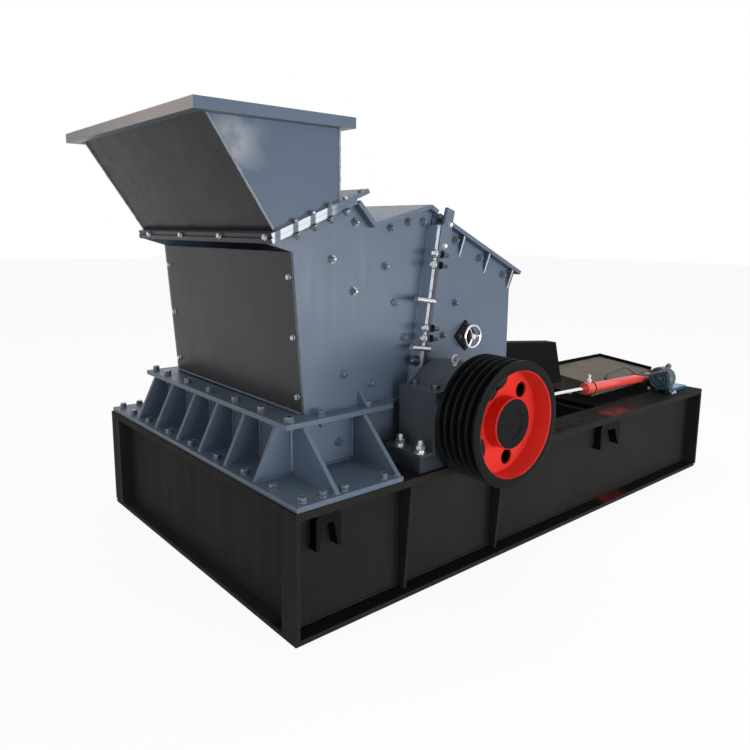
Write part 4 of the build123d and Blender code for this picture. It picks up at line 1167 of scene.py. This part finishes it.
# %% [markdown]
# Low on the seam a large domed nut closes the casing beside the bearing. It is turned, so it
# starts as a round bar whose end face is extruded and scaled in steps, like a lathe would cut.

# %% Domed nut low on the seam
def model_domed_nut(name, radius, length):
    # the transform is applied first, as copies take only the mesh
    nut = round_bar(28, radius, length * 0.2, length * 0.1)
    bpy.ops.object.transform_apply(location=True, rotation=True, scale=True)
    pick_faces(nut, facing_up)
    widen(0.96)
    extrude(0.0)
    widen(0.80)
    extrude(length * 0.55)
    for step in range(5):
        # a quarter circle in five steps
        now, following = cos(step * pi / 11), cos((step + 1) * pi / 11)
        extrude(length * 0.25 * (sin((step + 1) * pi / 11) - sin(step * pi / 11)))
        widen(following / now)
    return keep_model(done(nut))


DOMED_NUT = model_domed_nut("domed_nut_model", 0.024, 0.044)
domes = [(at(seam(898, -1), across, 898), -SEAM_NORMAL, 0.0) for across in (262, SKID_WIDTH - 262)]
lay_copies("seam_domed_nuts", DOMED_NUT, domes, "machine_frame", DARK_BOLTS)

# %% [markdown]
# Each bearing cap is lifted by an eye bolt on its crown. The eye is a torus that stands upright
# on a short shank, and the shank starts as a round bar whose foot is a wider collar.

# %% Eye bolts on the bearing caps
def model_eye_bolt(name):
    # the eye stands in the plane of its X and Z
    clear_selection()
    bpy.ops.mesh.primitive_torus_add(major_segments=40, minor_segments=12, major_radius=0.0165,
                                     minor_radius=0.0050, location=(0.0, 0.0, 0.024),
                                     rotation=(radians(90), 0.0, 0.0))
    eye = smoothed(bpy.context.object)
    shank = round_bar(24, 0.013, 0.006, -0.001)
    pick_faces(shank, facing_up)
    widen(0.55)
    extrude(0.006)
    return keep_model(join([eye, done(shank)], name))


EYE_BOLT = model_eye_bolt("eye_bolt_model")
CAP_RADIUS = span("near_bearing_cap")[1].z - ROTOR_HEIGHT
EYE_STEP = 43
eye_foot = ROTOR_HEIGHT + (CAP_RADIUS ** 2 - EYE_STEP ** 2) ** 0.5
eyes = [(at(ROTOR_ALONG - EYE_STEP, across, eye_foot), UP, 0.0) for across in (84, SKID_WIDTH - 84)]
lay_copies("bearing_eye_bolts", EYE_BOLT, eyes, "machine_frame", PALE_PLUG)

# %% Ribs between the side walls and the middle flange
def flange_rib(across, inward):
    # a plate whose upper edge is drawn back to the wall
    depth, height = 0.066, 0.058
    clear_selection()
    bpy.ops.mesh.primitive_cube_add(size=1.0, scale=(0.012, depth, height),
                                    location=at(517, across, mid_high.z) + Vector((0.0, 0.0, height / 2)))
    rib = bpy.context.object
    bpy.ops.object.transform_apply(location=False, rotation=False, scale=True)
    pick_faces(rib, facing_up)
    bpy.ops.transform.resize(value=(1.0, 0.12, 1.0))
    bpy.ops.transform.translate(value=(0.0, inward * depth * 0.44, 0.0))
    return done(rib)


ribs = join([flange_rib(WALL - 33, 1), flange_rib(SKID_WIDTH - WALL + 33, -1)], "flange_ribs")
finished(ribs, "machine_frame", BLUE_PLATE)

# %% Bolts of the straps, the wheel pad and the bearings
strap_bolts = mirrored([(969, FLANGE_OUT, 1480), (938, FLANGE_OUT, 1390)])
straps = [(at(*place), NEAR if place[1] < SKID_WIDTH / 2 else FAR, 0.3) for place in strap_bolts]
lay_copies("strap_bolts", SMALL_BOLT, straps, "rear_casing", ZINC_BOLTS)
pad_low, pad_high = span("wheel_seat")
pad_middle = (pad_low + pad_high) / 2
pad_face = WALL - 10
pad_bolts = [(at(pad_middle.x + step, pad_face, pad_middle.z), NEAR, 0.2) for step in (-48, 48)]
pad_bolts += [(at(pad_middle.x, pad_face, pad_middle.z + step), NEAR, 0.2) for step in (-48, 48)]
lay_copies("wheel_pad_bolts", SMALL_BOLT, pad_bolts, "rear_casing", DARK_BOLTS)
bearing_low, bearing_high = span("near_bearing_base")
foot_x = (bearing_low.x + 22, bearing_high.x - 22)
foot_top = bearing_low.z + 14
studs = mirrored([(along, across, foot_top) for along in foot_x for across in (49, 167)])
lay_copies("bearing_studs", BEARING_STUD, standing(studs, UP), "machine_frame", ZINC_BOLTS)
boss_top = span("near_bearing_cap")[0].z + 117
caps = mirrored([(ROTOR_ALONG + side * 178, across, boss_top) for side in (-1, 1) for across in (66, 190)])
lay_copies("bearing_cap_bolts", FLANGE_BOLT, standing(caps, UP), "machine_frame", DARK_BOLTS)
cover_bolts = []
for turn in range(6):
    angle = 60 * turn + 30
    cover_bolts.append((on_rotor(108, angle, SKID_WIDTH - 12), FAR, radians(angle)))
lay_copies("bearing_cover_bolts", SMALL_BOLT, cover_bolts, "machine_frame", DARK_BOLTS)

# %% [markdown]
# The cylinder's head has an oil port that stands straight up, with a hexagon and a pale plug on
# it, and a dark seal ring shows where the head is screwed on the barrel. Both are turned parts,
# so both start as round or six-sided bars that are extruded in steps along their own axis.

# %% Port fitting and seal ring on the cylinder
gland_low, gland_high = span("gland")
CYLINDER_ACROSS = 245
CYLINDER_EYE, CYLINDER_TAIL = Vector((1640, CYLINDER_ACROSS, 604)), Vector((2880, CYLINDER_ACROSS, 562))
CYLINDER_AXIS = (CYLINDER_TAIL - CYLINDER_EYE).normalized()


def on_cylinder(along, rise=0.0):
    # a place on the cylinder's centre line, or above it
    share = (along - CYLINDER_EYE.x) / (CYLINDER_TAIL.x - CYLINDER_EYE.x)
    return at(*CYLINDER_EYE.lerp(CYLINDER_TAIL, share)) + Vector((0.0, 0.0, rise * MM))


def model_fitting():
    fitting = round_bar(24, 0.010, 0.010, 0.005)
    pick_faces(fitting, facing_up)
    steps = ((1.15, 0.0), (1.0, 0.012), (0.72, 0.0), (1.0, 0.014), (1.2, 0.0), (1.0, 0.008), (0.8, 0.003))
    for scale, rise in steps:
        extrude(rise)
        widen(scale)
    done(fitting, 25.0)
    hexagon = round_bar(6, 0.015, 0.011, 0.0145)
    pick_faces(hexagon, lambda face: abs(face.normal.z) > 0.99)
    bpy.ops.mesh.bevel(offset=0.0012, segments=1, affect="EDGES")
    done(hexagon, 20.0)
    fitting = join([fitting, hexagon], "oil_port")
    set_down(fitting, turned_to(on_cylinder(gland_low.x + 42, 30), (0.05, 0.0, 1.0)))
    return fitting


finished(model_fitting(), "cylinder_barrel", PALE_PLUG)


def model_seal_ring():
    clear_selection()
    bpy.ops.mesh.primitive_torus_add(major_segments=48, minor_segments=10, major_radius=0.0325,
                                     minor_radius=0.0045)
    ring = bpy.context.object
    ring.name = "seal_ring"
    set_down(ring, turned_to(on_cylinder(gland_high.x - 22), CYLINDER_AXIS))
    bpy.ops.object.shade_smooth_by_angle(angle=radians(50.0))
    return ring


finished(model_seal_ring(), "cylinder_barrel", BLACK_PLATE)

# %% [markdown]
# Air is drawn into the motor through its round fan cover, so the cover has a raised rim and a
# small hub cap in the middle. Three thin rings and six bars between them make the guard.

# %% Guard and hub cap of the motor's fan cover
fan_low, fan_high = span("fan_cover")
FAN_ACROSS, FAN_HEIGHT = (fan_low.y + fan_high.y) / 2, (fan_low.z + fan_high.z) / 2


def model_fan_guard():
    parts = []
    for radius in (0.020, 0.038, 0.056):
        clear_selection()
        bpy.ops.mesh.primitive_torus_add(major_segments=48, minor_segments=8, major_radius=radius,
                                         minor_radius=0.0022)
        parts.append(smoothed(bpy.context.object))
    for bar in range(6):
        clear_selection()
        angle = bar * pi / 3
        bpy.ops.mesh.primitive_cylinder_add(vertices=8, radius=0.0018, depth=0.040,
                                            rotation=(radians(90), 0.0, angle),
                                            location=(-0.036 * sin(angle), 0.036 * cos(angle), 0.0))
        parts.append(smoothed(bpy.context.object))
    cap = round_bar(28, 0.012, 0.004)
    pick_faces(cap, facing_up)
    extrude(0.003)
    widen(0.7)
    parts.append(done(cap))
    guard = join(parts, "fan_guard")
    set_down(guard, turned_to(at(fan_low.x - 1.5, FAN_ACROSS, FAN_HEIGHT), FEED))
    return guard


finished(model_fan_guard(), "machine_frame", FAN_GUARD)

# %% Bolts on the deck: motor feet, cylinder anchor, hinge lugs
deck_bolts = [(fan_low.x + 46, FAN_ACROSS - 62, DECK), (fan_low.x + 78, FAN_ACROSS - 62, DECK)]
deck_bolts += [(2750, 205, DECK), (2950, 205, DECK), (2950, 285, DECK)]
lay_copies("deck_bolts", SMALL_BOLT, standing(deck_bolts, UP), "machine_frame", ZINC_BOLTS)

# %% [markdown]
# Every plate is welded on. A weld is a narrow bead with a ripple for each dab of metal. A bead
# starts as a six-sided bar as long as its joint. Its long edges are cut every few millimetres,
# and a Displace modifier with a fine cloud texture raises and lowers the cuts, so the bead gets
# its ripples. It lies half sunk in the corner of the two plates.

# %% Weld beads
CLOUDS = bpy.data.textures.new("weld_ripple", "CLOUDS")
CLOUDS.noise_scale = 0.009
CLOUDS.noise_depth = 1


def bead(start, end, radius=0.006):
    # one bead between two places, both in metres
    run = end - start
    piece = round_bar(6, radius, run.length)
    bpy.ops.object.mode_set(mode="EDIT")
    bpy.ops.mesh.select_mode(type="EDGE")
    bpy.ops.mesh.select_all(action="DESELECT")
    bpy.ops.object.mode_set(mode="OBJECT")
    points = piece.data.vertices
    for edge in piece.data.edges:
        first, second = (points[number].co.z for number in edge.vertices)
        edge.select = abs(first - second) > run.length * 0.5
    bpy.ops.object.mode_set(mode="EDIT")
    bpy.ops.mesh.subdivide(number_cuts=max(2, int(run.length / 0.009)))
    bpy.ops.object.mode_set(mode="OBJECT")
    piece.matrix_world = turned_to((start + end) / 2, run)
    return piece


def lay_welds(name, runs, body, finish, radius=0.006):
    pieces = [bead(at(*start), at(*end), radius) for start, end in runs]
    weld = join(pieces, name)
    ripple = weld.modifiers.new("ripple", "DISPLACE")
    ripple.texture = CLOUDS
    ripple.texture_coords = "LOCAL"
    ripple.strength = radius * 0.9
    ripple.mid_level = 0.5
    bpy.ops.object.modifier_apply(modifier="ripple")
    bpy.ops.object.shade_smooth()
    finished(weld, body, finish)
    print(name, "beads:", len(runs), "faces:", len(weld.data.polygons))


def across_too(runs):
    # the same beads on the far side
    other = []
    for start, end in runs:
        other.append(((start[0], SKID_WIDTH - start[1], start[2]), (end[0], SKID_WIDTH - end[1], end[2])))
    return runs + other


# the set-back web of a side beam, from the beam's outer edge
WEB = 85
skid_runs = []
for rib in (545, 1110):
    for side in (rib - 1, rib + 15):
        skid_runs.append(((side, WEB - 1, 24), (side, WEB - 1, 466)))
for end in (16, SKID_LENGTH - 16):
    skid_runs.append(((end, WEB - 1, 24), (end, WEB - 1, 466)))
skid_runs.append(((18, WEB - 1, 21), (SKID_LENGTH - 18, WEB - 1, 21)))
for hook_x, half in ((168, 56), (2050, 95)):
    skid_runs.append(((hook_x - half, WEB - 1, 330), (hook_x - half, WEB - 1, 430)))
lay_welds("skid_welds", across_too(skid_runs), "machine_frame", BLACK_PLATE)

housing_runs = []
for left in (185, 480):
    for side in (left, left + 18):
        housing_runs.append(((side, WALL - 1, 524), (side, WALL - 1, 718)))
        housing_runs.append(((side, 24, 521), (side, WALL - 4, 521)))
housing_runs.append(((206, WALL - 1, 521), (478, WALL - 1, 521)))
housing_runs.append(((500, WALL - 1, 521), (600, WALL - 1, 521)))
housing_runs.append(((250, WALL - 1, 743), (600, WALL - 1, 743)))
feed_runs = []
for middle in (309, 540, 765, 980, 1215, 1421):
    for side in (middle - 9, middle + 9):
        feed_runs.append(((184, side, 524), (184, side, 718)))
        feed_runs.append(((26, side, 521), (180, side, 521)))
feed_runs.append(((184, 320, 521), (184, 1410, 521)))
feed_runs.append(((front_place(744) - 1, 322, 744), (front_place(744) - 1, 1408, 744)))
lay_welds("housing_welds", across_too(housing_runs) + feed_runs, "machine_frame", BLUE_PLATE)

upper_runs = [((seam(750, -1), WALL - 1, 750), (seam(1470, -1), WALL - 1, 1470))]
upper_runs += [((110, WALL - 21, 1452), (398, WALL - 21, 1452 + SLOPE * 288))]
lay_welds("casing_welds", across_too(upper_runs), "machine_frame", BLUE_PLATE)
# these beads are pale as a painted highlight along the hopper corners and gusset joints
highlight_runs = [((-166, 279, 1864), (106, 279, 1452)), ((400, 279, 1566), (400, 279, 1864))]
for side in (184, 204, 480, 499):
    highlight_runs.append(((side, WALL - 2, 530), (side, WALL - 2, 700)))
lay_welds("highlight_welds", across_too(highlight_runs), "machine_frame", WELD_METAL_AND_HIGHLIGHT, 0.005)
hinged_runs = [((seam(760, 1), WALL - 1, 760), (seam(1470, 1), WALL - 1, 1470))]
lay_welds("hinged_casing_welds", across_too(hinged_runs), "rear_casing", BLUE_PLATE)

# %% The models that were only copied from are done with
for model in MODELS:
    bpy.data.objects.remove(model)
